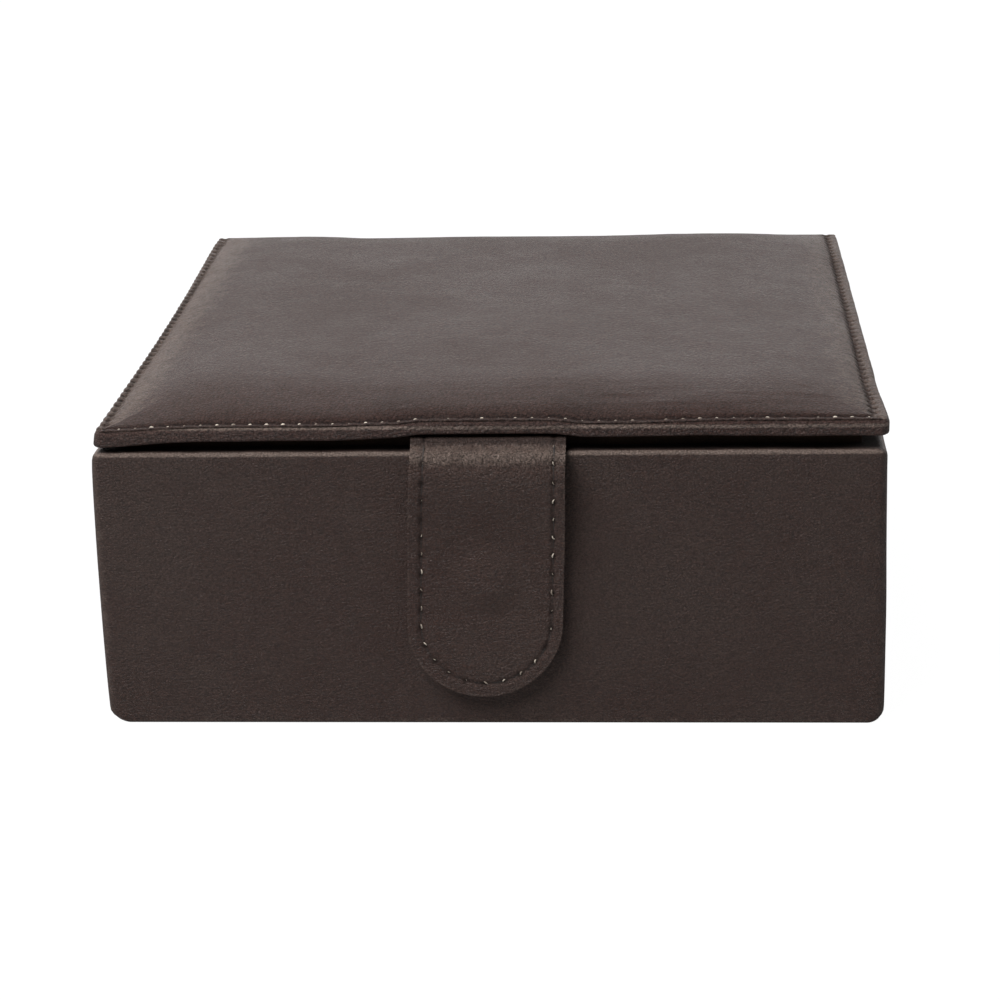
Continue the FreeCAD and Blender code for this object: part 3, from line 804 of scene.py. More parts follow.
def lid_detail(points, crown):
    """Groove, puckers, creases and waves of the top leather, as a height for each point."""
    lid = settings_of("lid")
    pitch = settings_of("thread").pitch
    x, y = points[..., 0], points[..., 1]
    inside, along, side = seam_offsets(x, y)
    flat = points.copy()
    flat[..., 2] = 0.0
    strength = 0.55 + 0.9 * np.clip(rough(flat, 9.0 * MM, 5.0) + 0.35, 0.0, 1.0)
    pulled = near_holes(along, pitch) ** 2
    groove = -lid.groove * (0.6 + 0.4 * pulled) * bell(inside, 0.55 * MM)
    reach = np.where(side == FRONT_SIDE, np.where(inside > 0.0, 2.6 * MM, 1.9 * MM), 1.5 * MM)
    fold = -lid.pucker * strength * (pulled - 0.35) * np.exp(-np.abs(inside) / reach)
    fold *= np.where(side == FRONT_SIDE, 0.8, 1.9)
    fold -= np.where(side == FRONT_SIDE, 0.0, 0.50 * MM) * pulled**2 * bell(np.abs(inside), 0.9 * MM, 4)

    front_band = ramp(inside, 1.5 * MM, 4.0 * MM) * fade(inside, 21.0 * MM, 9.0 * MM)
    at_front = front_band * (side == FRONT_SIDE) * ramp(x, -0.045, 0.05)
    squeezed = np.stack([x / (15.0 * MM), y / (1.7 * MM), np.zeros_like(x)], -1) * MM
    lines = 0.11 * MM * rough(squeezed, MM, 11.0) * at_front
    strap_edge = bell(np.abs(x) - STRAP_SIDE, 8.0 * MM) * ramp(-y, 0.062, 0.02)
    skew = np.stack([(x + 0.9 * y) / (1.6 * MM), (x - 0.9 * y) / (9.0 * MM), np.zeros_like(x)], -1) * MM
    skewed = 0.07 * MM * rough(skew, MM, 13.0) * strap_edge * ramp(inside, 0.0, 2.0 * MM)
    body = ramp(inside, 0.0, 10.0 * MM)
    slow = lid.waves * (0.75 * rough(flat, 34.0 * MM, 17.0) + 0.35 * rough(flat, 15.0 * MM, 19.0)) * body
    slow *= fade(y, TOP_REAR, 14.0 * MM)
    close = 0.03 * MM * rough(flat, 4.5 * MM, 23.0) * ramp(inside, 0.0, 3.0 * MM)
    return groove + fold + lines + skewed + slow + close * (crown > 0.0)


def round_corners(x, y, x0, x1, y0, y1, radius):
    """Moves grid points near a rectangle's corners on to circles about the corner's centre."""
    x, y = x.copy(), y.copy()
    for cx, sx in ((x0 + radius, -1.0), (x1 - radius, 1.0)):
        for cy, sy in ((y0 + radius, -1.0), (y1 - radius, 1.0)):
            u, v = (x - cx) * sx / radius, (y - cy) * sy / radius
            here = (u > 0.0) & (v > 0.0)
            far = np.hypot(u, v)
            k = np.where(here, np.maximum(u, v) / np.where(far > 0.0, far, 1.0), 1.0)
            x = np.where(here, cx + sx * radius * u * k, x)
            y = np.where(here, cy + sy * radius * v * k, y)
    return x, y


def border_of(rows, cols):
    """Numbers of a grid's border points, in order round it."""
    first = list(range(cols))
    right = [r * cols + cols - 1 for r in range(1, rows)]
    last = [(rows - 1) * cols + c for c in range(cols - 2, -1, -1)]
    left = [r * cols for r in range(rows - 2, 0, -1)]
    return first + right + last + left


CLOTH_CELL = 2.1 * MM  # spacing of the sheet that is simulated
CLOTH_SCALE = 20.0  # the simulation runs this much larger than life
CLOTH_FRAMES = 40
FOAM_DEPTH = 0.45 * MM  # from the leather's middle to the foam
CLOTH_REACH = 0.8 * MM  # furthest that the sheet may move


def draped(points):
    """The drop of a slightly large leather sheet that is sewn round its edge and lies on the foam."""
    rows, cols = points.shape[:2]
    large = CLOTH_SCALE
    n, m = int((TOP_REAR - TOP_FRONT) / CLOTH_CELL), int(2 * TOP_X / CLOTH_CELL)
    ri = np.round(np.linspace(0, rows - 1, n)).astype(int)
    ci = np.round(np.linspace(0, cols - 1, m)).astype(int)
    base = points[np.ix_(ri, ci)]
    inside, _, _ = seam_offsets(base[..., 0], base[..., 1])
    pinned = (inside < 1.5 * MM) | (base[..., 1] > TOP_REAR - 4.0 * MM)
    faces = grid_faces(n, m)
    bed = make_mesh("foam_bed", (base - np.array((0, 0, FOAM_DEPTH))) * large, faces, "Foam")
    bed.modifiers.new("Collision", "COLLISION")
    bed.collision.thickness_outer = 0.3 * MM * large
    bed.collision.cloth_friction = 15.0
    sheet = make_mesh("draped_sheet", base * large, faces, "Foam")
    group = sheet.vertex_groups.new(name="Sewn")
    group.add([int(i) for i in np.flatnonzero(pinned.ravel())], 1.0, "REPLACE")
    cloth = sheet.modifiers.new("Cloth", "CLOTH")
    settings = cloth.settings
    settings.quality = 7
    settings.mass = 0.35
    settings.tension_stiffness = settings.compression_stiffness = 60.0
    settings.shear_stiffness = 40.0
    settings.bending_stiffness = 6.0
    settings.tension_damping = settings.compression_damping = settings.shear_damping = 25.0
    settings.air_damping = 3.0
    settings.vertex_group_mass = "Sewn"
    settings.shrink_min = settings.shrink_max = -settings_of("lid").ease
    cloth.collision_settings.distance_min = 0.1 * MM * large
    cloth.collision_settings.collision_quality = 3
    cloth.point_cache.frame_start = 1
    cloth.point_cache.frame_end = CLOTH_FRAMES
    for number in range(1, CLOTH_FRAMES + 1):
        bpy.context.scene.frame_set(number)
    graph = bpy.context.evaluated_depsgraph_get()
    fallen = sheet.evaluated_get(graph).to_mesh()
    co = coordinates(fallen)
    if co.size != base.size:
        raise RuntimeError("the draped sheet lost points")
    moved = co.reshape(base.shape) / large - base
    bpy.context.scene.frame_set(1)
    for piece in (sheet, bed):
        data = piece.data
        bpy.data.objects.remove(piece)
        bpy.data.meshes.remove(data)
    moved[pinned] = 0.0
    moved = np.clip(moved, -CLOTH_REACH, CLOTH_REACH)
    for _ in range(2):
        wide = np.pad(moved, ((1, 1), (1, 1), (0, 0)), mode="edge")
        moved = sum(wide[i:i + n, j:j + m] for i in range(3) for j in range(3)) / 9.0
    full = np.empty((rows, cols, 3))
    for k in range(3):
        wide = np.stack([np.interp(np.arange(cols), ci, line) for line in moved[..., k]])
        full[..., k] = np.stack([np.interp(np.arange(rows), ri, wide[:, j]) for j in range(cols)], 1)
    return full


# ---------------------------------------------------------------- body
def wall_path(inset, columns):
    """Plan places round the left, front and right walls at that inset, and which way each faces."""
    radius = settings_of("cover").corner
    y0, x0 = FRONT + inset, RIGHT - inset
    turn = max(radius - inset, 0.2 * MM)
    end, limit = FRONT + radius, FRONT + 12.0 * MM
    ys = np.where(columns < limit, limit + (columns - limit) * (limit - y0 - turn) / (limit - end), columns)
    side = np.stack([np.full(len(ys), -x0), ys], 1)
    angles = quarter(7)[1:-1]
    arc = np.stack([-x0 + turn - turn * np.cos(angles), y0 + turn - turn * np.sin(angles)], 1)
    across = steps(-RIGHT + radius, RIGHT - radius, settings_of("cover").cell)
    across = across * (x0 - turn) / (RIGHT - radius)
    ahead = np.stack([across, np.full(len(across), y0)], 1)
    mirror = np.array((-1.0, 1.0))
    return np.concatenate([side, arc, ahead, (arc * mirror)[::-1], (side * mirror)[::-1]])


def wall_section():
    """Insets and heights of the cover from inside the rim, down the face, to the margin under the base."""
    cover = settings_of("cover")
    turn = quarter(7)
    rim, foot, low = cover.rim, cover.foot, WALLS_LOW[2] - 0.25 * MM
    inner = [(n, HEIGHT) for n in (5.0 * MM, 3.9 * MM, 2.9 * MM, 2.0 * MM)]
    top = [(rim - rim * np.sin(a), HEIGHT - rim + rim * np.cos(a)) for a in turn]
    sill, lintel = BAY_LOW[2], SHELF_LOW[2]
    heights = joined(
        steps(HEIGHT - rim, HEIGHT - rim - 4.0 * MM, 0.8 * MM)[1:],
        steps(HEIGHT - rim - 4.0 * MM, lintel, cover.cell),
        steps(lintel, sill, cover.cell),
        steps(sill, low + foot, 0.8 * MM),
    )
    face = [(0.0, z) for z in heights]
    bottom = [(foot - foot * np.cos(a), low + foot - foot * np.sin(a)) for a in turn[1:]]
    under = [(n, low) for n in (3.5 * MM, 6.0 * MM, 8.0 * MM, 10.0 * MM)]
    return np.array(inner + top + face + bottom + under)


def wall_unevenness(points):
    """How far the glued leather stands off its flat board, along X, Y and Z."""
    cover = settings_of("cover")
    x, y, z = points[..., 0], points[..., 1], points[..., 2]
    high = z / HEIGHT
    ahead = ramp(-y, 0.058, 0.024)
    at_corner = ahead * ramp(np.abs(x), 0.070, 0.010)
    belly = np.sin(np.pi * np.clip((high + 0.03) / 1.05, 0.0, 1.0)) ** 0.35
    stand = np.where(x < 0.0, -1.35 * cover.bulge * belly, cover.bulge * (1.05 - 1.05 * high) * belly)
    near_top = np.clip(1.0 - (HEIGHT - z) / (2.0 * MM), 0.0, 1.0)
    top = 1.3 * MM * (1.0 - np.sqrt(1.0 - 0.98 * near_top**2))
    foot = np.where(x < 0.0, 3.0, 1.8) * MM * np.clip(1.0 - z / (3.0 * MM), 0.0, 1.0) ** 2
    moved = np.zeros_like(points)
    near_side = ramp(np.abs(x), 0.0735, 0.009)
    moved[..., 0] = stand * at_corner - np.sign(x) * (top + foot) * ahead * near_side
    slow = rough(points, 40.0 * MM, 31.0) + 0.6 * rough(points, 13.0 * MM, 33.0)
    face = ramp(z, 1.0 * MM, 3.0 * MM) * fade(z, HEIGHT - 1.5 * MM, 3.0 * MM)
    on_front = bell(y - FRONT, 1.2 * MM)
    on_side = bell(np.abs(x) - RIGHT, 1.2 * MM) * (1.0 - on_front)
    moved[..., 1] += cover.unevenness * slow * face * on_front
    moved[..., 0] += cover.unevenness * slow * face * on_side
    rim = ramp(z, HEIGHT - 2.2 * MM, 1.5 * MM)
    ripple = 0.16 * MM * rough(points, 6.0 * MM, 35.0) + 0.10 * MM * rough(points, 2.2 * MM, 37.0)
    moved[..., 2] += rim * ripple
    outer = bell(z - HEIGHT + 0.8 * MM, 1.2 * MM)
    moved[..., 1] += 0.14 * MM * outer * rough(points, 4.0 * MM, 39.0) * on_front
    return moved


def edge_wear_and_highlight(points, *levels):
    """Rubbing and painted highlight, strongest at these heights."""
    z = points[:, 2]
    return np.max([strength * bell(z - level, width) for level, width, strength in levels], axis=0)


MOUTH_LINES = (-0.0805, -0.079)  # across, between the mouth's round lip and the bay
# Painted shade on the rim's top and inside grows from this height up
RIM_SHADE = 58.5 * MM  # the dark inside of the rim starts here


def wall_inset(points):
    """How far points lie inside the outer faces of the front and side walls."""
    return np.minimum(points[:, 1] - FRONT, RIGHT - np.abs(points[:, 0]))


class CUFFLINK_OT_walls(Operator):
    """Leather glued round the front and side walls, turned into the drawer's mouth and under the base"""

    bl_idname = "cufflink.walls"
    bl_label = "Wall Leather"

    def execute(self, context):
        cover = settings_of("cover")
        turn_y, lip = BAY_HIGH[1], cover.lip
        edge = turn_y + lip
        rear = REAR - LEATHER
        columns = banded(rear, edge, -edge, FRONT + cover.corner, cover.cell, cover.cell)
        section = wall_section()
        points = np.array([at_height(wall_path(inset, columns), z) for inset, z in section])
        sill, lintel = BAY_HIGH[2] - lip, SHELF_LOW[2] - LEATHER + lip
        down = section[:, 1]
        on_face = section[:, 0] == 0.0
        low_row = np.flatnonzero(on_face & (np.abs(down - BAY_LOW[2]) < 1e-6))[0]
        high_row = np.flatnonzero(on_face & (np.abs(down - SHELF_LOW[2]) < 1e-6))[0]
        points[low_row, :, 2], points[high_row, :, 2] = sill, lintel
        first = int(np.argmin(np.abs(columns - edge)))
        last = int(np.argmin(np.abs(columns + edge)))
        keep = np.ones((len(section) - 1, points.shape[1] - 1), dtype=bool)
        keep[high_row:low_row, first:last] = False
        loop = [points[high_row, c] for c in range(first, last)]
        loop += [points[r, last] for r in range(high_row, low_row)]
        loop += [points[low_row, c] for c in range(last, first, -1)]
        loop += [points[r, first] for r in range(low_row, high_row, -1)]
        loop = np.array(loop)
        loop = loop + wall_unevenness(loop)
        middle = np.array((0.0, 0.0, (sill + lintel) / 2))
        half_y, half_z = edge, (lintel - sill) / 2
        rings = [loop]
        for a in quarter(5)[1:]:
            closer = lip * math.sin(a)
            shrink = np.array((1.0, (half_y - closer) / half_y, (half_z - closer) / half_z))
            ring = (loop - middle) * shrink + middle
            ring[:, 0] = loop[:, 0] + lip * (1.0 - math.cos(a))
            rings.append(ring)
        for x in (*MOUTH_LINES, BAY_LOW[0]):
            ring = rings[4].copy()
            ring[:, 0] = x
            rings.append(ring)
        mouth_points, mouth_faces = loop_rings(rings)
        points = points + wall_unevenness(points)
        flat = points.reshape(-1, 3)
        faces = grid_faces(*points.shape[:2], keep).tolist()
        faces += [[i + len(flat) for i in face] for face in mouth_faces]
        points = np.concatenate([flat, mouth_points])
        piece = make_mesh("box_cover", points, faces, "Wall Leather", flip=True)
        thicken(piece, 0.9 * LEATHER)
        settle(piece, 50.0)

        def wear(p):
            inset = np.maximum(wall_inset(p) - 0.3 * MM, 0.0)
            # Painted highlight along the rim's rounded top edge; rubbing along the foot and at the front
            # corners
            rim = edge_wear_and_highlight(p, (HEIGHT - 0.35 * MM, 0.55 * MM, 1.3), (WALLS_LOW[2] + 0.6 * MM, 1.1 * MM, 0.4))
            rim *= np.where(p[:, 2] > HEIGHT / 2, bell(inset, 0.6 * MM), 1.0)
            from_corner = np.hypot(np.abs(p[:, 0]) - RIGHT, p[:, 1] - FRONT)
            return np.maximum(rim, 0.45 * bell(from_corner, 1.6 * MM))

        def hole(p):
            # Painted shade on the rim's top and inner face, where the lid's edge shades them
            return 0.75 * ramp(wall_inset(p), 1.0 * MM, 1.2 * MM) * ramp(p[:, 2], RIM_SHADE, 1.5 * MM)

        finish_piece(piece, "body", "cover_leather", "body_leather", wear=wear, hole=hole)
        return {"FINISHED"}


HINGE_START = 0.057  # where the spine's mesh grows finer
LOW_FOLD, HINGE_MIDDLE, HIGH_FOLD = 0.0606, 0.0621, 0.0638


class CUFFLINK_OT_spine(Operator):
    """Leather down the back, with the soft fold that is the lid's hinge"""

    bl_idname = "cufflink.spine"
    bl_label = "Spine Leather"

    def execute(self, context):
        cover = settings_of("cover")
        half, low, high = BACK_HIGH[0], BACK_LOW[2], SPINE_HIGH[2] + 0.3 * MM
        xs = banded(-half, -half + 2 * MM, half - 2 * MM, half, 0.5 * MM, cover.cell)
        turn = quarter(5)
        foot = 0.9 * MM
        section = [(foot - foot * math.sin(a), low + foot - foot * math.cos(a)) for a in turn]
        heights = joined(steps(low + foot, HINGE_START, cover.cell), steps(HINGE_START, high, 0.3 * MM))
        section += [(0.0, z) for z in heights[1:]]
        points = np.array([[(x, REAR - n, z) for x in xs] for n, z in section])
        x, z = points[..., 0], points[..., 2]
        side = np.clip((np.abs(x) - half + 1.0 * MM) / (1.0 * MM), 0.0, 1.0)
        points[..., 1] -= 0.55 * MM * side**2
        fold = -0.35 * MM * bell(z - LOW_FOLD, 0.9 * MM) - 0.22 * MM * bell(z - HIGH_FOLD, 0.6 * MM)
        swell = 0.16 * MM * bell(z - 0.0624, 1.0 * MM)
        slow = cover.unevenness * (rough(points, 36.0 * MM, 41.0) + 0.5 * rough(points, 12.0 * MM, 43.0))
        points[..., 1] += fold + swell + slow * fade(z, 0.062, 0.006)
        lines = rough(points * np.array((0.25, 1.0, 1.6)), 1.1 * MM, 45.0)
        points[..., 1] += 0.05 * MM * lines * bell(z - HINGE_MIDDLE, 2.0 * MM)
        piece = make_mesh("spine_cover", points, grid_faces(*points.shape[:2]), "Wall Leather", flip=True)
        thicken(piece, 0.85 * LEATHER)
        settle(piece, 50.0)

        def wear(p):
            sides = 0.35 * bell(np.abs(p[:, 0]) - half, 0.9 * MM)
            return np.maximum(sides, edge_wear_and_highlight(p, (0.0608, 1.0 * MM, 0.3), (low + 0.5 * MM, 0.9 * MM, 0.4)))

        def crease(p):
            return 0.35 * bell(p[:, 2] - HINGE_MIDDLE, 2.2 * MM)

        finish_piece(piece, None, "cover_leather", "back_leather", "spine_leather", wear=wear, crease=crease)
        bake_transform(piece)
        return {"FINISHED"}


class CUFFLINK_OT_base(Operator):
    """Felt under the base"""

    bl_idname = "cufflink.base"
    bl_label = "Base Felt"

    def execute(self, context):
        piece = rounded_copy("base_felt", "felt_pad", "Felt", 0.35 * MM)
        finish_piece(piece, "body", "felt", "base_felt")
        return {"FINISHED"}


# ---------------------------------------------------------------- lid
class CUFFLINK_OT_lid_board(Operator):
    """Board inside the lid and the leather wrapped round its edge"""

    bl_idname = "cufflink.lid_board"
    bl_label = "Lid Board"

    def execute(self, context):
        lid = settings_of("lid")
        cell = 1.6 * MM

        def ring(inset, z):
            (x0, y0), (x1, y1) = EDGE_LOW[:2] + inset, EDGE_HIGH[:2] - inset
            return at_height(rounded_loop(x0, x1, y0, y1, lid.corner - inset, cell), z)

        low, high = BOARD_LOW[2], BOARD_HIGH[2]
        shell, chamfer = 0.55 * MM, 0.1 * MM
        section = [
            (shell + chamfer, low), (shell, low + chamfer), (shell, high - chamfer), (shell + chamfer, high)
        ]
        points, faces = loop_rings([ring(n, z) for n, z in section])
        count = len(points) // len(section)
        faces.append(list(range(count))[::-1])
        faces.append([len(points) - count + i for i in range(count)])
        piece = make_mesh("lid_core", lid_warp(points), faces, "Board")
        outward(piece)
        settle(piece, 30.0)
        finish_piece(piece, "lid", "board", "lid_board")

        inner = 7.0 * MM
        z0, z1, r, r0 = EDGE_LOW[2] - 0.2 * MM, EDGE_HIGH[2], 0.70 * MM, 0.45 * MM
        turn = quarter(6)
        section = [(inner, z1), (3.0 * MM, z1), (1.6 * MM, z1)]
        section += [(r - r * math.sin(a), z1 - r + r * math.cos(a)) for a in turn]
        section += [(0.0, z) for z in (z1 - r - 0.2 * MM, (z0 + z1) / 2, z0 + r0 + 0.3 * MM)]
        section += [(r0 - r0 * math.cos(a), z0 + r0 - r0 * math.sin(a)) for a in turn]
        section += [(1.6 * MM, z0), (3.0 * MM, z0), (inner, z0), (inner, z0 + 0.45 * MM)]
        section += [(0.62 * MM, z0 + 0.48 * MM), (0.56 * MM, z1 - 0.48 * MM)]
        section += [(inner, z1 - 0.45 * MM), (inner, z1)]
        rings = [ring(n, z) for n, z in section]
        points, faces = loop_rings(rings)
        x, y, z = points[:, 0], points[:, 1], points[:, 2]
        outer = np.clip(1.0 - np.repeat([n for n, _ in section], len(rings[0])) / (1.2 * MM), 0.0, 1.0)
        centre = np.array((0.0, (EDGE_LOW[1] + EDGE_HIGH[1]) / 2))
        way = np.stack([x, y - centre[1]], 1) / np.array((EDGE_HIGH[0], EDGE_HIGH[1] - centre[1]))
        way = np.sign(way) * (np.abs(way) > 0.985)
        ripple = 0.10 * MM * rough(points, 7.0 * MM, 51.0) + 0.05 * MM * rough(points, 2.4 * MM, 53.0)
        ripple *= outer * (y < EDGE_HIGH[1] - 3.0 * MM)
        points[:, 0] += way[:, 0] * (ripple - 0.25 * MM * outer)
        points[:, 1] += way[:, 1] * ripple
        points[:, 2] += 0.10 * MM * rough(points, 9.0 * MM, 55.0) * outer * (z < (z0 + z1) / 2)
        far_right = ramp(x, 0.030, 0.030) * ramp(-y, 0.050, 0.030)
        far_left = 0.35 * ramp(-x, 0.018, 0.016) * ramp(-y, 0.050, 0.030)
        loose = np.maximum(corner_sag(x, y), far_left) + 0.9 * far_right
        down = (z1 - z) / (z1 - z0)
        points[:, 0] -= 0.45 * MM * corner_sag(x, y) * down * outer
        points[:, 2] -= lid.hang * loose * down
        piece = make_mesh("lid_edge", lid_warp(points), faces, "Lid Leather")
        outward(piece)
        settle(piece, 50.0)

        def wear(p):
            # Painted highlight along the wrap's rounded top edge; rubbing along its lower edge
            return edge_wear_and_highlight(p, (z1 - 0.40 * MM, 0.42 * MM, 1.1), (z0 + 0.5 * MM, 0.5 * MM, 0.35))

        finish_piece(piece, "lid", "cover_leather", "lid_edge_wrap", wear=wear)
        return {"FINISHED"}


class CUFFLINK_OT_lid(Operator):
    """Padded top leather over the foam, sewn round the front and sides"""

    bl_idname = "cufflink.lid"
    bl_label = "Padded Lid"

    def execute(self, context):
        lid = settings_of("lid")
        hem = 0.7 * MM
        x0, x1, y0, y1 = -TOP_X + hem, TOP_X - hem, TOP_FRONT + hem, TOP_REAR - hem
        corner = lid.corner - (RIGHT - TOP_X) - hem
        front, left, right = seam_insets()
        fine, cell, along = 0.30 * MM, 0.80 * MM, 0.45 * MM
        reach = 3.2 * MM
        xs = banded(x0, x0 + left - hem + reach, x1 - right + hem - reach, x1, fine, cell)
        ys = banded(y0, y0 + front - hem + reach, y1 - 2.5 * MM, y1, fine, along)
        x, y = np.meshgrid(xs, ys)
        x, y = round_corners(x, y, x0, x1, y0, y1, corner)
        z, crown = lid_height(x, y)
        points = np.stack([x, y, z], -1)
        points += draped(points)
        points[..., 2] += lid_detail(points, crown)
        rows, cols = x.shape
        border = np.array(border_of(rows, cols))
        edge = points.reshape(-1, 3)[border]
        cx = np.clip(edge[:, 0], x0 + corner, x1 - corner)
        cy = np.clip(edge[:, 1], y0 + corner, y1 - corner)
        out = np.stack([edge[:, 0] - cx, edge[:, 1] - cy], 1)
        out /= np.linalg.norm(out, axis=1)[:, None]
        rear = ramp(out[:, 1], 0.45, 0.45)
        low = SPINE_HIGH[2] + 0.1 * MM
        wrap = WRAP_TOP - 0.02 * MM
        _, run, side = seam_offsets(edge[:, 0], edge[:, 1])
        pitch = settings_of("thread").pitch
        pulled = near_holes(run, pitch) ** 2
        depth = np.where(side == LEFT_SIDE, 0.17, np.where(side == RIGHT_SIDE, 0.10, 0.0)) * MM
        lobes = depth * (0.45 - pulled)
        lip = 0.08 * MM * rough(edge, 3.0 * MM, 61.0) + lobes
        rings = []
        for n0, drop, n1, z1 in (  # how far out and down: ahead, then at the rear
            (0.30 * MM, 0.03 * MM, 0.40 * MM, MARGIN_Z - 0.45 * MM),
            (0.55 * MM, 0.13 * MM, 0.60 * MM, MARGIN_Z - 0.85 * MM),
            (0.68 * MM, 0.26 * MM, hem, MARGIN_Z - 1.6 * MM),
            (0.66 * MM, 0.38 * MM, hem, low + 0.3 * MM),
        ):
            n = n0 + (n1 - n0) * rear + lip * (1.0 - rear)
            height = edge[:, 2] - drop
            rings.append(np.column_stack([edge[:, :2] + out * n[:, None], height + (z1 - height) * rear]))
        for n0, n1, z1 in (
            (0.35 * MM, hem - 0.25 * MM, low),
            (-0.3 * MM, hem - 0.85 * MM, low + 0.05 * MM),
            (-0.6 * MM, hem - 0.88 * MM, wrap),
        ):
            n = n0 + (n1 - n0) * rear
            rings.append(np.column_stack([edge[:, :2] + out * n[:, None], wrap + (z1 - wrap) * rear]))
        faces = grid_faces(rows, cols).tolist()
        count = len(border)
        previous = border
        for k in range(len(rings)):
            numbers = rows * cols + k * count + np.arange(count)
            faces += np.stack([previous, numbers, np.roll(numbers, -1), np.roll(previous, -1)], 1).tolist()
            previous = numbers
        faces.append(previous)
        points = lid_warp(np.concatenate([points.reshape(-1, 3), *rings]))
        piece = make_mesh("lid_cover", points, faces, "Lid Leather")
        outward(piece)
        settle(piece, 60.0)

        def wear(p):
            # Lighter at the folded lip outside the front stitches; painted highlight on the side margins
            # outside the stitches and on the slopes beside them, stronger at the left; lighter along the rear
            # edge
            inside, _, side = seam_offsets(p[:, 0], p[:, 1])
            out = np.clip(-inside / (front + 0.1 * MM), 0.0, 1.0)
            rim = np.where(inside < -0.3 * MM, 0.12 + 0.6 * out**4, 0.0)
            near = np.where(side == LEFT_SIDE, 0.85, 0.6) * bell(np.maximum(inside, 0.0), 11.0 * MM)
            sides = np.where(side == FRONT_SIDE, 0.0, np.where(inside < -0.4 * MM, 0.75, near))
            rear_edge = 0.15 * bell(p[:, 1] - TOP_REAR + 0.8 * MM, 1.1 * MM)
            return np.maximum(np.maximum(rim, sides), rear_edge)

        def crease(p):
            inside, _, side = seam_offsets(p[:, 0], p[:, 1])
            near = bell(np.maximum(inside, 0.0), 4.5 * MM) * np.where(side == FRONT_SIDE, 0.25, 0.4)
            strap = bell(np.abs(p[:, 0]) - STRAP_SIDE, 7.0 * MM) * ramp(-p[:, 1], 0.066, 0.014)
            return np.maximum(near, 0.5 * strap)

        def hole(p):
            # Painted shade in the side stitch slots, along the stitch groove and under the top leather's
            # folded lip
            inside, run, side = seam_offsets(p[:, 0], p[:, 1])
            slot = 0.95 * near_holes(run, pitch) ** 3 * bell(inside, 0.85 * MM, 4)
            line = 0.5 * bell(inside - 0.12 * MM, 0.4 * MM)
            edge = np.minimum(np.minimum(p[:, 1] - TOP_FRONT, TOP_X - np.abs(p[:, 0])), 1.0 * MM)
            lip = 0.55 * fade(edge, 0.12 * MM, 0.08 * MM) * (p[:, 1] < TOP_REAR - 3.0 * MM)
            return np.where(side == FRONT_SIDE, np.maximum(line, lip), np.maximum(slot, 0.8 * line))

        finish_piece(
            piece, "lid", "cover_leather", "lid_top_leather", "lid_foam", wear=wear, crease=crease, hole=hole
        )
        return {"FINISHED"}


class CUFFLINK_OT_lid_suede(Operator):
    """Suede panel under the lid and the suede strip at the hinge"""

    bl_idname = "cufflink.lid_suede"
    bl_label = "Lid Suede"

    def execute(self, context):
        low, high = LINING_LOW, LINING_HIGH
        gap_x, gap_y = ANCHOR_HIGH[0] + 0.4 * MM, ANCHOR_HIGH[1] + 0.4 * MM
        cell = 2.0 * MM
        xs = banded(low[0], -gap_x, gap_x, high[0], cell, cell)
        ys = joined(steps(low[1], gap_y, cell), steps(gap_y, high[1], cell))
        x, y = np.meshgrid(xs, ys)
        keep = np.ones((len(ys) - 1, len(xs) - 1), dtype=bool)
        xm, ym = (xs[1:] + xs[:-1]) / 2, (ys[1:] + ys[:-1]) / 2
        keep[np.ix_(ym < gap_y, np.abs(xm) < gap_x)] = False
        points = np.stack([x, y, np.full_like(x, low[2])], -1)
        points[..., 2] += 0.10 * MM * rough(points, 30.0 * MM, 71.0) - 0.05 * MM
        faces = grid_faces(len(ys), len(xs), keep)
        piece = make_mesh("lid_suede", lid_warp(points), faces, "Suede", flip=True)
        thicken(piece, LID_Z - low[2])
        round_off(piece, 0.4 * MM)
        settle(piece, 50.0)
        finish_piece(piece, "lid", "suede", "lid_lining")

        y0, y1, z0, z1 = LEDGE_LOW[1], LEDGE_HIGH[1], LEDGE_LOW[2], LEDGE_HIGH[2]
        thick = 0.6 * MM
        corner = 0.8 * MM
        turn = quarter(6)
        cy, cz = y1 - thick - corner, z0 + thick + corner
        profile = [(y, z0 + thick) for y in steps(y0, cy, 0.8 * MM)]
        profile += [(cy + corner * math.sin(a), cz - corner * math.cos(a)) for a in turn]
        profile += [(y1 - thick, z) for z in steps(cz, z1, 0.3 * MM)]
        xs = steps(LEDGE_LOW[0], LEDGE_HIGH[0], 2.4 * MM)
        points = np.array([[(x, y, z) for x in xs] for y, z in profile])
        points[..., 1] += 0.06 * MM * rough(points, 8.0 * MM, 73.0)
        piece = make_mesh("inner_hinge", points, grid_faces(*points.shape[:2]), "Suede")
        thicken(piece, thick)
        settle(piece, 50.0)
        finish_piece(piece, None, "suede", "hinge_strip")
        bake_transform(piece)
        return {"FINISHED"}


# ---------------------------------------------------------------- strap
FOLD_Y, FOLD_Z = FOLD_HIGH[1], FOLD_LOW[2]
FOLD_R = FOLD_HIGH[2] - FOLD_LOW[2]
STRAP_HALF = OUTER_HIGH[0]
STRAP_TIP = OUTER_LOW[2]
ANCHOR_RUN = ANCHOR_HIGH[1] - FOLD_Y
BEND_RUN = FOLD_R * math.pi / 2
SNAP_Z = (SOCKET_LOW[2] + SOCKET_HIGH[2]) / 2
STRAP_SEAM_TOP = FOLD_Z + 2.3 * MM
BEND_Z = 0.062  # below it the strap widens and hangs aslant
LEAN_Z = 56.6 * MM  # where the strap stands off furthest
# Heights of the painted highlight band, the wrinkles and the painted shade on the strap's bend
HIGHLIGHT_Z, CREASED_Z, SHADED_Z = 60.9 * MM, 60.4 * MM, 62.3 * MM  # on the strap's bend
WRINKLED_Z = 0.0600
TIP_FOLD_Z = 0.0262  # a soft fold over the round tip


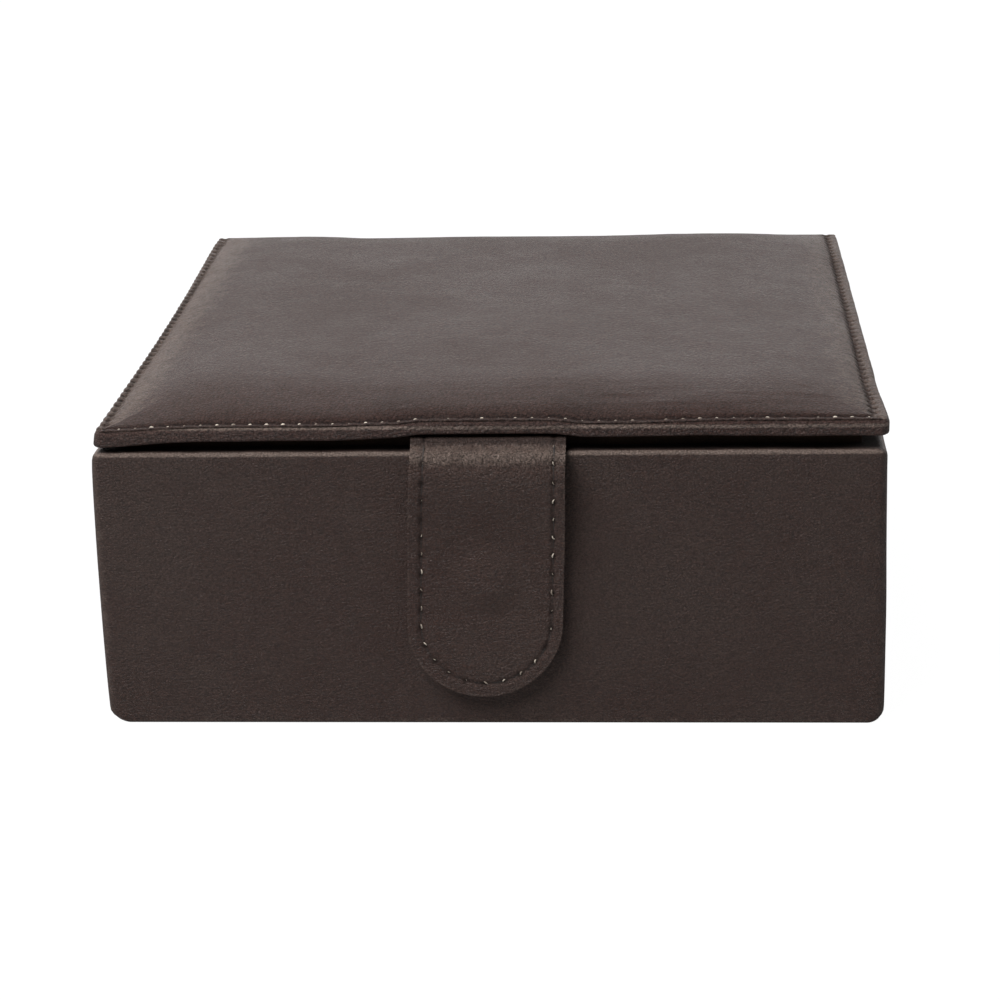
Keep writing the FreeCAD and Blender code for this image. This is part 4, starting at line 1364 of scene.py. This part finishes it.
def strap_half(z):
    """Half width of the strap at a height."""
    strap = settings_of("strap")
    return STRAP_HALF - 0.1 * MM + strap.flare * fade(z, BEND_Z, 0.02)


def strap_centre(z):
    """Where the strap's middle hangs at a height."""
    strap = settings_of("strap")
    return 0.35 * MM - strap.slant * (BEND_Z - np.minimum(z, BEND_Z)) / 0.050


def strap_path(s):
    """Place and outward direction of the strap's face, a length s from its sewn end."""
    turn = np.clip((s - ANCHOR_RUN) / FOLD_R, 0.0, np.pi / 2)
    y = FOLD_Y + np.maximum(ANCHOR_RUN - s, 0.0) - FOLD_R * np.sin(turn)
    z = FOLD_Z + FOLD_R * np.cos(turn) - np.maximum(s - ANCHOR_RUN - BEND_RUN, 0.0)
    return y, z, -np.sin(turn), np.cos(turn)


def strap_lean(z):
    """How far the strap stands off below the lid's edge before it hangs flat."""
    strap = settings_of("strap")
    lean = strap.lean * bell(z - LEAN_Z, np.where(z > LEAN_Z, 3.7 * MM, 12.0 * MM))
    turn = np.arccos(np.clip((z - FOLD_Z) / FOLD_R, 0.0, 1.0))
    down = np.where(z > FOLD_Z, FOLD_R * turn, BEND_RUN + FOLD_Z - z)
    return lean - strap.tuck * bell(down - 2.5 * MM, 1.9 * MM)


def strap_run():
    """Length of the strap's stitching down one side to the round tip, and all the way round."""
    strap = settings_of("strap")
    radius = strap_half(STRAP_TIP)
    side = STRAP_SEAM_TOP - STRAP_TIP - radius
    return side, 2.0 * side + np.pi * (radius - strap.seam)


def strap_seam_inset(across, down):
    """From the strap's edge to its stitches; wider at the left and at the tip."""
    strap = settings_of("strap")
    return strap.seam - 0.25 * MM * across + 0.45 * MM * down


def strap_pull(z, u, v):
    """1 at the strap's stitch holes and 0 between them."""
    strap = settings_of("strap")
    side, whole = strap_run()
    turned = side + np.arctan2(v, -u) * (strap_half(STRAP_TIP) - strap.seam)
    down = STRAP_SEAM_TOP - z
    along = np.where(v > 0.0, turned, np.where(u < 0.0, down, whole - down))
    return near_holes(along, strap.pitch) ** 3


def strap_relief(x, z, u, v, edge):
    """Height of the strap's face over the flat leather."""
    strap = settings_of("strap")
    off = edge - strap_seam_inset(u, v)
    pulled = strap_pull(z, u, v)
    groove = -strap.groove * (0.6 + 0.4 * pulled) * bell(off, 0.45 * MM)
    groove -= 0.10 * MM * pulled * np.exp(-np.abs(off) / (1.3 * MM))
    lip = 0.05 * MM * bell(off + 1.3 * MM, 0.7 * MM)
    away = np.hypot(x - strap_centre(SNAP_Z), z - SNAP_Z)
    swell = strap.bump * (1.0 - ramp(away, 2.0 * MM, 7.0 * MM))
    ring = -0.07 * MM * bell(away - 6.3 * MM, 0.6 * MM)
    flat = np.stack([x, np.zeros_like(x), z], -1)
    body = ramp(off, 0.0, 2.0 * MM)
    slow = (0.14 * MM * rough(flat, 17.0 * MM, 81.0) + 0.05 * MM * rough(flat, 5.0 * MM, 83.0)) * body
    fold = -0.12 * MM * bell(z - TIP_FOLD_Z - 0.05 * x, 0.9 * MM) * body
    skew = np.stack([(x + 0.8 * z) / (1.5 * MM), np.zeros_like(x), (z - 0.8 * x) / (8.0 * MM)], -1) * MM
    high = bell(z - WRINKLED_Z, 2.4 * MM)
    wrinkles = 0.04 * MM * rough(skew, MM, 85.0) * high
    return groove + lip + swell + ring + slow + fold + wrinkles + strap_lean(z)


def strap_place(across, s, relief=True):
    """Points of the strap's face; across runs from -1 to 1 and s along the leather."""
    _, tip_z, _, _ = strap_path(s)
    radius = strap_half(STRAP_TIP)
    middle = STRAP_TIP + radius
    v = np.clip((middle - tip_z) / radius, 0.0, 1.0)
    far = np.hypot(across, v)
    k = np.where(v > 0.0, np.maximum(np.abs(across), v) / np.where(far > 0.0, far, 1.0), 1.0)
    u2, v2 = across * k, v * k
    y, z, ny, nz = strap_path(s)
    z = np.where(v > 0.0, middle - radius * v2, z)
    half = strap_half(z)
    x = strap_centre(z) + half * u2
    edge = half * (1.0 - np.where(v > 0.0, np.hypot(u2, v2), np.abs(u2)))
    h = strap_relief(x, z, u2, v2, edge) if relief else strap_lean(z)
    h = np.where(s < ANCHOR_RUN + 0.25 * BEND_RUN, np.minimum(h, 0.0), h)
    return np.stack([x, y + ny * h, z + nz * h], -1)


def strap_seam(start=0.0):
    """Points of the strap's stitching, down the left side, round the tip and up the right side."""
    strap = settings_of("strap")
    radius = strap_half(STRAP_TIP)
    middle = STRAP_TIP + radius
    side, whole = strap_run()
    s = np.arange(start, whole - start, 0.35 * MM)
    angle = np.clip((s - side) / (radius - strap.seam), 0.0, np.pi)
    u, v = -np.cos(angle), np.sin(angle)
    inset = strap_seam_inset(u, v)
    z = np.where(s < side, STRAP_SEAM_TOP - s, STRAP_SEAM_TOP - (whole - s))
    z = np.where(v > 1e-6, middle - (radius - inset) * v, z)
    x = strap_centre(z) + (strap_half(z) - inset) * u
    share = (strap_half(z) - inset) / strap_half(z)
    h = strap_relief(x, z, u * share, v * share, inset)
    bend = np.clip((z - FOLD_Z) / FOLD_R, 0.0, 1.0)
    y = FOLD_Y - (FOLD_R + h) * np.sqrt(1.0 - bend**2)
    return np.stack([x, y, z + h * bend], 1)


def strap_steps(from_end):
    """Places across and along the strap for its mesh."""
    strap = settings_of("strap")
    radius = strap_half(STRAP_TIP)
    fine = joined(steps(0.0, 0.9 * MM, 0.22 * MM), steps(0.9 * MM, 4.2 * MM, 0.33 * MM))
    inner = steps(4.2 * MM, radius, strap.cell)
    side = 1.0 - np.concatenate([fine, inner[1:]]) / radius
    across = np.concatenate([-side, side[::-1][1:]])
    bend = ANCHOR_RUN + BEND_RUN
    middle = bend + FOLD_Z - (STRAP_TIP + radius)
    along = joined(
        steps(from_end, ANCHOR_RUN, 2.0 * MM) if from_end < ANCHOR_RUN else np.array([from_end]),
        steps(max(from_end, ANCHOR_RUN), bend, 0.42 * MM) if from_end < bend else np.array([from_end]),
        steps(max(from_end, bend), bend + 6.0 * MM, 0.42 * MM),
        steps(bend + 6.0 * MM, middle, strap.cell),
        middle + radius * side[::-1],
    )
    return np.meshgrid(across, along)


class CUFFLINK_OT_strap(Operator):
    """Snap strap: face leather bent over the lid's edge, and its lining"""

    bl_idname = "cufflink.strap"
    bl_label = "Snap Strap"

    def execute(self, context):
        across, along = strap_steps(0.0)
        points = strap_place(across, along)
        faces = grid_faces(*across.shape)
        piece = make_mesh("strap_front", points, faces, "Strap Leather", flip=True)
        thicken(piece, 0.97 * STRAP_LEATHER)
        round_off(piece, 0.28 * MM, 2, 60.0)
        settle(piece, 60.0)

        def share_of(p):
            """Shares of the half width across, and of the round tip's radius down."""
            radius = strap_half(STRAP_TIP)
            u = (p[:, 0] - strap_centre(p[:, 2])) / strap_half(p[:, 2])
            return u, np.clip((STRAP_TIP + radius - p[:, 2]) / radius, 0.0, 1.0)

        def edge_distance(p):
            u, v = share_of(p)
            return strap_half(p[:, 2]) * (1.0 - np.where(v > 0.0, np.hypot(u, v), np.abs(u)))

        def wear(p):
            # Rubbed edges that also carry a painted highlight, a painted highlight band across the bend, and
            # rubbing over the snap's cap
            edge = 0.42 * bell(np.maximum(edge_distance(p), 0.0), 1.0 * MM)
            snap = np.hypot(p[:, 0] - strap_centre(SNAP_Z), p[:, 2] - SNAP_Z)
            highlight_band = 0.85 * bell(p[:, 2] - HIGHLIGHT_Z, 2.2 * MM)
            return np.maximum(np.maximum(edge, highlight_band), 0.22 * bell(snap, 6.5 * MM))

        def crease(p):
            return bell(p[:, 2] - CREASED_Z, 2.1 * MM)

        def hole(p):
            # Painted shade in the stitch slots and along the seam, and on the strap's top where it runs under
            # the lid's edge
            u, v = share_of(p)
            off = edge_distance(p) - strap_seam_inset(u, v)
            slot = 0.9 * strap_pull(p[:, 2], u, v) * bell(off, 0.5 * MM)
            dark = np.maximum(slot, 0.3 * bell(off, 0.25 * MM))
            return np.maximum(dark * (p[:, 2] < STRAP_SEAM_TOP), 0.35 * ramp(p[:, 2], SHADED_Z, 0.7 * MM))

        finish_piece(piece, None, "cover_leather", "strap_fold", "strap_outer_leather", "strap_anchor",
                     wear=wear, crease=crease, hole=hole)
        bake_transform(piece)

        across, along = strap_steps(ANCHOR_RUN + BEND_RUN + 1.6 * MM)
        points = strap_place(across * (1.0 - 0.12 * MM / STRAP_HALF), along, relief=False)
        points[..., 1] += INNER_LOW[1] - (FOLD_Y - FOLD_R) + 0.02 * MM
        points[..., 1] += 0.04 * MM * (1.0 + rough(points, 12.0 * MM, 87.0))
        faces = grid_faces(*across.shape)
        piece = make_mesh("strap_back", points, faces, "Lining Leather", flip=True)
        thicken(piece, 0.95 * STRAP_LEATHER)
        round_off(piece, 0.22 * MM, 2, 60.0)
        settle(piece, 60.0)

        def back_wear(p):
            return 0.7 * bell(np.maximum(edge_distance(p), 0.0), 0.4 * MM)

        finish_piece(piece, "strap", "strap_lining_leather", "strap_inner_leather", wear=back_wear)
        return {"FINISHED"}


# ---------------------------------------------------------------- stitches
def stitch_group():
    """Geometry nodes that set stitches along a line of edges."""
    group = bpy.data.node_groups.new("Stitches", "GeometryNodeTree")
    group.interface.new_socket(name="Line", in_out="INPUT", socket_type="NodeSocketGeometry")
    for name, kind, default in (
        ("Pitch", "Float", 3.4 * MM), ("Length", "Float", 2.4 * MM), ("Thickness", "Float", 0.45 * MM),
        ("Arch", "Float", 0.15 * MM), ("Bend", "Float", 0.0), ("Sink", "Float", 0.0), ("Share", "Float", 1.0),
        ("Uneven", "Float", 0.15), ("Up", "Vector", (0.0, 0.0, 1.0)), ("Seed", "Int", 1),
        ("Thread", "Material", None),
    ):
        socket = group.interface.new_socket(name=name, in_out="INPUT", socket_type=f"NodeSocket{kind}")
        if default is not None:
            socket.default_value = default
    group.interface.new_socket(name="Stitches", in_out="OUTPUT", socket_type="NodeSocketGeometry")
    given, made = group.nodes.new("NodeGroupInput").outputs, group.nodes.new("NodeGroupOutput").inputs
    calc = partial(math_node, group)

    def add(kind, inputs=None, **settings):
        return add_node(group, kind, inputs, **settings).outputs

    def vector(x, y, z):
        return add("ShaderNodeCombineXYZ", {0: x, 1: y, 2: z})[0]

    def chance(low, high, shift):
        inputs = {2: low, 3: high, "Seed": calc("ADD", given["Seed"], shift)}
        return add("FunctionNodeRandomValue", inputs, data_type="FLOAT")[1]

    half = calc("MULTIPLY", given["Length"], 0.5)
    sunk = calc("MULTIPLY", given["Sink"], -1.0)
    dip = calc("MULTIPLY_ADD", given["Thickness"], -0.45, sunk)
    crest = calc("ADD", calc("MULTIPLY", given["Arch"], 2.0), sunk)
    arc = add("GeometryNodeCurveQuadraticBezier", {
        "Resolution": 7,
        "Start": vector(calc("MULTIPLY", half, -1.0), 0.0, dip),
        "Middle": vector(0.0, given["Bend"], crest),
        "End": vector(half, 0.0, dip),
    })[0]
    place = add("GeometryNodeSplineParameter")["Factor"]
    full = calc("MULTIPLY", calc("MULTIPLY", place, calc("SUBTRACT", 1.0, place)), 4.0)
    girth = calc("POWER", calc("MAXIMUM", full, 0.06), 0.38)
    circle = add("GeometryNodeCurvePrimitiveCircle", {"Resolution": 7, "Radius": 1.0}, mode="RADIUS")[0]
    strand = add("GeometryNodeCurveToMesh", {
        "Curve": arc,
        "Profile Curve": circle,
        "Scale": calc("MULTIPLY", calc("MULTIPLY", given["Thickness"], 0.5), girth),
        "Fill Caps": True,
    })[0]

    line = add("GeometryNodeMeshToCurve", {"Mesh": given["Line"]})[0]
    points = add("GeometryNodeCurveToPoints", {"Curve": line, "Length": given["Pitch"]}, mode="LENGTH")
    ahead = add("FunctionNodeAlignRotationToVector", {"Vector": points["Tangent"]}, axis="X")[0]
    inputs = {"Rotation": ahead, "Vector": given["Up"]}
    upright = add("FunctionNodeAlignRotationToVector", inputs, axis="Z", pivot_axis="X")[0]
    turn = vector(0.0, 0.0, calc("MULTIPLY", chance(-1.0, 1.0, 11), given["Uneven"]))
    inputs = {0: upright, 1: add("FunctionNodeEulerToRotation", {0: turn})[0]}
    twist = add("FunctionNodeRotateRotation", inputs, rotation_space="LOCAL")[0]
    size = calc("ADD", calc("MULTIPLY", chance(-1.0, 0.7, 23), given["Uneven"]), 1.0)
    placed = add("GeometryNodeInstanceOnPoints", {
        "Points": points["Points"],
        "Instance": strand,
        "Selection": calc("LESS_THAN", chance(0.0, 1.0, 37), given["Share"]),
        "Rotation": twist,
        "Scale": vector(size, size, size),
    })[0]
    real = add("GeometryNodeRealizeInstances", {0: placed})[0]
    thread = add("GeometryNodeSetMaterial", {"Geometry": real, "Material": given["Thread"]})[0]
    feed(group, made[0], thread)
    return group


def stitched(name, lines, thread, pitch, **inputs):
    """A plain mesh of stitches along lines of points, one for each pitch."""
    material = material_of(thread)
    mesh = bpy.data.meshes.new(name)
    ends = np.cumsum([0] + [len(line) for line in lines])
    edges = [(i, i + 1) for first, last in zip(ends, ends[1:]) for i in range(first, last - 1)]
    mesh.from_pydata(np.concatenate(lines).tolist(), edges, [])
    piece = new_object(name, mesh, material)
    group = bpy.data.node_groups.get("Stitches") or stitch_group()
    modifier = piece.modifiers.new("Stitches", "NODES")
    modifier.node_group = group
    seed = settings_of("thread").seed
    wanted = {"Thread": material, "Seed": seed, "Pitch": 0.9999 * pitch, **inputs}
    for item in group.interface.items_tree:
        if item.in_out == "INPUT" and item.name in wanted:
            modifier[item.identifier] = wanted[item.name]
    settle(piece, 80.0)
    if not piece.data.polygons:
        raise RuntimeError(f"{name} has no stitches")
    outward(piece)
    return piece


class CUFFLINK_OT_stitches(Operator):
    """Stitches of the lid's seam and of the strap"""

    bl_idname = "cufflink.stitches"
    bl_label = "Stitches"

    def execute(self, context):
        thread = settings_of("thread")
        strap = settings_of("strap")
        pitch, thick = thread.pitch, thread.thickness

        depth = MARGIN_Z - 0.9 * settings_of("lid").groove  # bottom of the groove
        left, front, right = (lid_warp(at_height(plan, depth)) for plan in seam_lines(pitch / 8))
        piece = stitched("lid_seam_thread", [left[4:-4], front[4:-4], right[4:-4]], "Brown Thread", pitch,
                         Length=0.84 * pitch, Thickness=thick, Arch=0.10 * MM, Sink=0.10 * MM, Uneven=0.05)
        finish_piece(piece, "lid", "cover_leather")
        knots = front + np.array((0.12 * MM, 0.0, 0.06 * MM))
        piece = stitched("lid_seam_knots", [knots], "Cream Thread", pitch, Length=0.78 * MM,
                         Thickness=0.50 * MM, Arch=0.18 * MM, Uneven=0.35, Share=0.97)
        finish_piece(piece, "lid", "cover_leather")

        wide, out = strap.pitch, (0.0, -1.0, 0.0)
        strands = strap_seam(0.5 * wide) + np.array((0.0, 0.08 * MM, 0.0))
        piece = stitched("strap_thread", [strands], "Brown Thread", wide, Length=0.84 * wide,
                         Thickness=0.38 * MM, Arch=0.08 * MM, Sink=0.04 * MM, Uneven=0.06, Up=out)
        finish_piece(piece, None, "cover_leather")
        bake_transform(piece)
        knots = strap_seam() - np.array((0.0, 0.05 * MM, 0.0))
        piece = stitched("strap_knots", [knots], "Cream Thread", wide, Length=0.95 * MM, Thickness=0.25 * MM,
                         Arch=0.18 * MM, Bend=0.30 * MM, Share=0.9, Uneven=0.7, Up=out)
        finish_piece(piece, None, "cover_leather")
        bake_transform(piece)
        return {"FINISHED"}


# ---------------------------------------------------------------- inside and drawer
class CUFFLINK_OT_tray(Operator):
    """Suede of the tray in the box's upper part"""

    bl_idname = "cufflink.tray"
    bl_label = "Suede Tray"

    def execute(self, context):
        for node in sorted(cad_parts):
            if node.startswith(("tray_", "long_divider", "cross_divider")) or node == "bay_lining":
                piece = rounded_copy(node, f"{node}_suede", "Suede", 0.45 * MM)
                finish_piece(piece, "body", "suede", node)
        return {"FINISHED"}


class CUFFLINK_OT_drawer(Operator):
    """Drawer's leather face, pull tab, walls and suede"""

    bl_idname = "cufflink.drawer"
    bl_label = "Drawer"

    def execute(self, context):
        face = rounded_copy("drawer_front_leather", "drawer_face", "Wall Leather", 0.42 * MM)

        def wear(p):
            edge = np.minimum(p - FACE_LOW, FACE_HIGH - p)[:, 1:].min(axis=1)
            return 0.6 * bell(edge, 0.7 * MM)

        def tab_wear(p):
            return 0.5 * bell(p[:, 0] - TAB_LOW[0], 2.0 * MM)

        finish_piece(face, "drawer", "cover_leather", "drawer_front_leather", wear=wear)
        tab = rounded_copy("pull_tab", "drawer_tab", "Strap Leather", 0.5 * MM)
        finish_piece(tab, "drawer", "cover_leather", "pull_tab", wear=tab_wear)
        for node in ("drawer_pad", "drawer_long_divider", "drawer_cross_divider"):
            piece = rounded_copy(node, f"{node}_suede", "Suede", 0.4 * MM)
            finish_piece(piece, "drawer", "suede", node)
        for node in ("drawer_side_front", "drawer_side_rear", "drawer_end", "drawer_bottom"):
            piece = rounded_copy(node, f"{node}_board", "Board", 0.3 * MM)
            finish_piece(piece, "drawer", "board", node)
        return {"FINISHED"}


class CUFFLINK_OT_hard_parts(Operator):
    """Materials of the boards and of the snap"""

    bl_idname = "cufflink.hard_parts"
    bl_label = "Boards and Snap"

    def execute(self, context):
        for name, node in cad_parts.items():
            if node.hide_render:
                continue
            kind = "Snap Metal" if name.startswith("snap") else "Board"
            node.data.materials.clear()
            node.data.materials.append(material_of(kind))
        return {"FINISHED"}


class CUFFLINK_OT_materials(Operator):
    """Leather, suede, felt, board, metal and thread"""

    bl_idname = "cufflink.materials"
    bl_label = "Materials"

    def execute(self, context):
        leather, suede, thread = (settings_of(part) for part in ("leather", "suede", "thread"))
        for build in (leather_grain_group, mottle_group, rub_and_highlight_group, nap_group):
            build()
        leather_material("Wall Leather", leather, pebble=0.7, relief=1.9, wrinkles=0.4, speckle=0.42)
        leather_material(
            "Lid Leather", leather, pebble=0.9, relief=3.8, tint=(1.03, 0.90, 0.89), speckle=0.55
        )
        leather_material(
            "Strap Leather", leather, pebble=0.75, relief=2.1, wrinkles=0.6, tint=(1.04, 0.97, 0.94),
            gloss=0.07, speckle=0.45,
        )
        leather_material("Lining Leather", leather, pebble=0.8, relief=0.5, tint=(1.25, 1.25, 1.25))
        suede_material("Suede", tuple(suede.suede))
        suede_material("Felt", tuple(suede.felt))
        board_material("Board", tuple(suede.fibre))
        board_material("Foam", (0.42, 0.38, 0.30))
        metal_material("Snap Metal", (0.62, 0.45, 0.20), 0.3)
        thread_material("Brown Thread", tuple(thread.brown), shade(thread.brown, 0.5))
        thread_material("Cream Thread", tuple(thread.cream), (0.16, 0.12, 0.09))
        return {"FINISHED"}


# ---------------------------------------------------------------- stage
FLOOR_GREY, FLOOR_GLOW = 0.45, 1.10
GLOW_SHARE = 0.90  # of the floor's glow in what the camera sees
FLOOR_HALF = 6  # metres from the middle to the floor's edge


def ray_share(tree, camera, other):
    """A value that is one for the camera's own rays and another for the rest."""
    path = tree.nodes.new("ShaderNodeLightPath")
    return math_node(tree, "MULTIPLY_ADD", path.outputs["Is Camera Ray"], camera - other, other)


class CUFFLINK_OT_stage(Operator):
    """Floor, white room, lamps and camera"""

    bl_idname = "cufflink.stage"
    bl_label = "Stage"

    def execute(self, context):
        scene = context.scene
        stage = settings_of("stage")
        world = bpy.data.worlds.new("White Room")
        scene.world = world
        world.use_nodes = True
        tree = world.node_tree
        back = tree.nodes["Background"]
        feed(tree, back.inputs["Strength"], ray_share(tree, 1.0, stage.room))
        back.inputs["Color"].default_value = (1.0, 1.0, 1.0, 1.0)

        material = bpy.data.materials.new("White Floor")
        material.use_nodes = True
        tree = material.node_tree
        tree.nodes.remove(tree.nodes["Principled BSDF"])
        paint = add_node(tree, "ShaderNodeBsdfDiffuse", {"Color": (*(FLOOR_GREY,) * 3, 1.0)}).outputs[0]
        glow = add_node(tree, "ShaderNodeEmission", {"Strength": FLOOR_GLOW}).outputs[0]
        both = add_node(tree, "ShaderNodeMixShader", {0: ray_share(tree, GLOW_SHARE, 0.0), 1: paint, 2: glow})
        feed(tree, tree.nodes["Material Output"].inputs["Surface"], both.outputs[0])
        mesh = bpy.data.meshes.new("floor")
        corners = [(x * FLOOR_HALF, y * FLOOR_HALF, 0) for x, y in ((-1, -1), (1, -1), (1, 1), (-1, 1))]
        mesh.from_pydata(corners, [], [(0, 1, 2, 3)])
        floor = new_object("floor", mesh, material)

        white, warm = (1.0, 1.0, 1.0), (1.0, 0.965, 0.955)
        aim = Vector((0.0, 0.0, 0.03))
        for name, place, wide, tall, power, tint in (
            ("key_lamp", (-0.45, -0.45, 1.00), 0.8, 0.8, 18.0, white),
            ("rear_lamp", (0.00, 1.00, 0.37), 2.8, 0.72, 7.1, warm),
            ("side_lamp", (0.95, 0.10, 0.60), 0.7, 0.7, 1.5, white),
        ):
            light = bpy.data.lights.new(name, "AREA")
            light.shape = "ELLIPSE"
            light.size = wide
            light.size_y = tall
            light.energy = power
            light.color = tint
            lamp = bpy.data.objects.new(name, light)
            lamp.location = place
            lamp.rotation_euler = (aim - Vector(place)).to_track_quat("-Z", "Y").to_euler()
            scene.collection.objects.link(lamp)

        data = bpy.data.cameras.new("camera")
        data.lens = stage.lens
        data.sensor_width = 36.0
        camera = bpy.data.objects.new("camera", data)
        camera.matrix_world = (
            Matrix.Translation((stage.aside, -stage.reach, stage.height))
            @ Matrix.Rotation(-stage.yaw, 4, "Z")
            @ Matrix.Rotation(math.pi / 2 - stage.pitch, 4, "X")
            @ Matrix.Rotation(-stage.roll, 4, "Z")
        )
        scene.collection.objects.link(camera)
        scene.camera = camera
        scene.view_settings.view_transform = "Standard"
        return {"FINISHED"}


# ---------------------------------------------------------------- add-on
STEPS = (
    CUFFLINK_OT_materials,
    CUFFLINK_OT_walls,
    CUFFLINK_OT_spine,
    CUFFLINK_OT_base,
    CUFFLINK_OT_lid_board,
    CUFFLINK_OT_lid,
    CUFFLINK_OT_lid_suede,
    CUFFLINK_OT_strap,
    CUFFLINK_OT_stitches,
    CUFFLINK_OT_tray,
    CUFFLINK_OT_drawer,
    CUFFLINK_OT_hard_parts,
    CUFFLINK_OT_stage,
)
SETTINGS = {
    "cufflink_cover": CoverSettings,
    "cufflink_lid": LidSettings,
    "cufflink_strap": StrapSettings,
    "cufflink_thread": ThreadSettings,
    "cufflink_leather": LeatherSettings,
    "cufflink_suede": SuedeSettings,
    "cufflink_stage": StageSettings,
}


class CUFFLINK_PT_panel(Panel):
    """Sizes, colours and steps of the cufflink box"""

    bl_idname = "CUFFLINK_PT_panel"
    bl_label = "Cufflink Box"
    bl_space_type = "VIEW_3D"
    bl_region_type = "UI"
    bl_category = "Cufflink Box"

    def draw(self, context):
        for key, settings in SETTINGS.items():
            box = self.layout.box()
            box.label(text=settings.__name__.replace("Settings", ""))
            for name in settings.__annotations__:
                box.prop(getattr(context.scene, key), name)
        for step in STEPS:
            self.layout.operator(step.bl_idname)


def register():
    """Adds the settings, the steps and the panel."""
    for kind in (*SETTINGS.values(), *STEPS, CUFFLINK_PT_panel):
        bpy.utils.register_class(kind)
    for key, settings in SETTINGS.items():
        setattr(bpy.types.Scene, key, PointerProperty(type=settings))


def unregister():
    """Takes them away again."""
    for key in SETTINGS:
        delattr(bpy.types.Scene, key)
    for kind in reversed((*SETTINGS.values(), *STEPS, CUFFLINK_PT_panel)):
        bpy.utils.unregister_class(kind)


def main():
    """Runs every step in order."""
    register()
    for step in STEPS:
        group, name = step.bl_idname.split(".")
        if getattr(getattr(bpy.ops, group), name)() != {"FINISHED"}:
            raise RuntimeError(f"{step.bl_label} was not built")


if __name__ == "__main__":
    main()
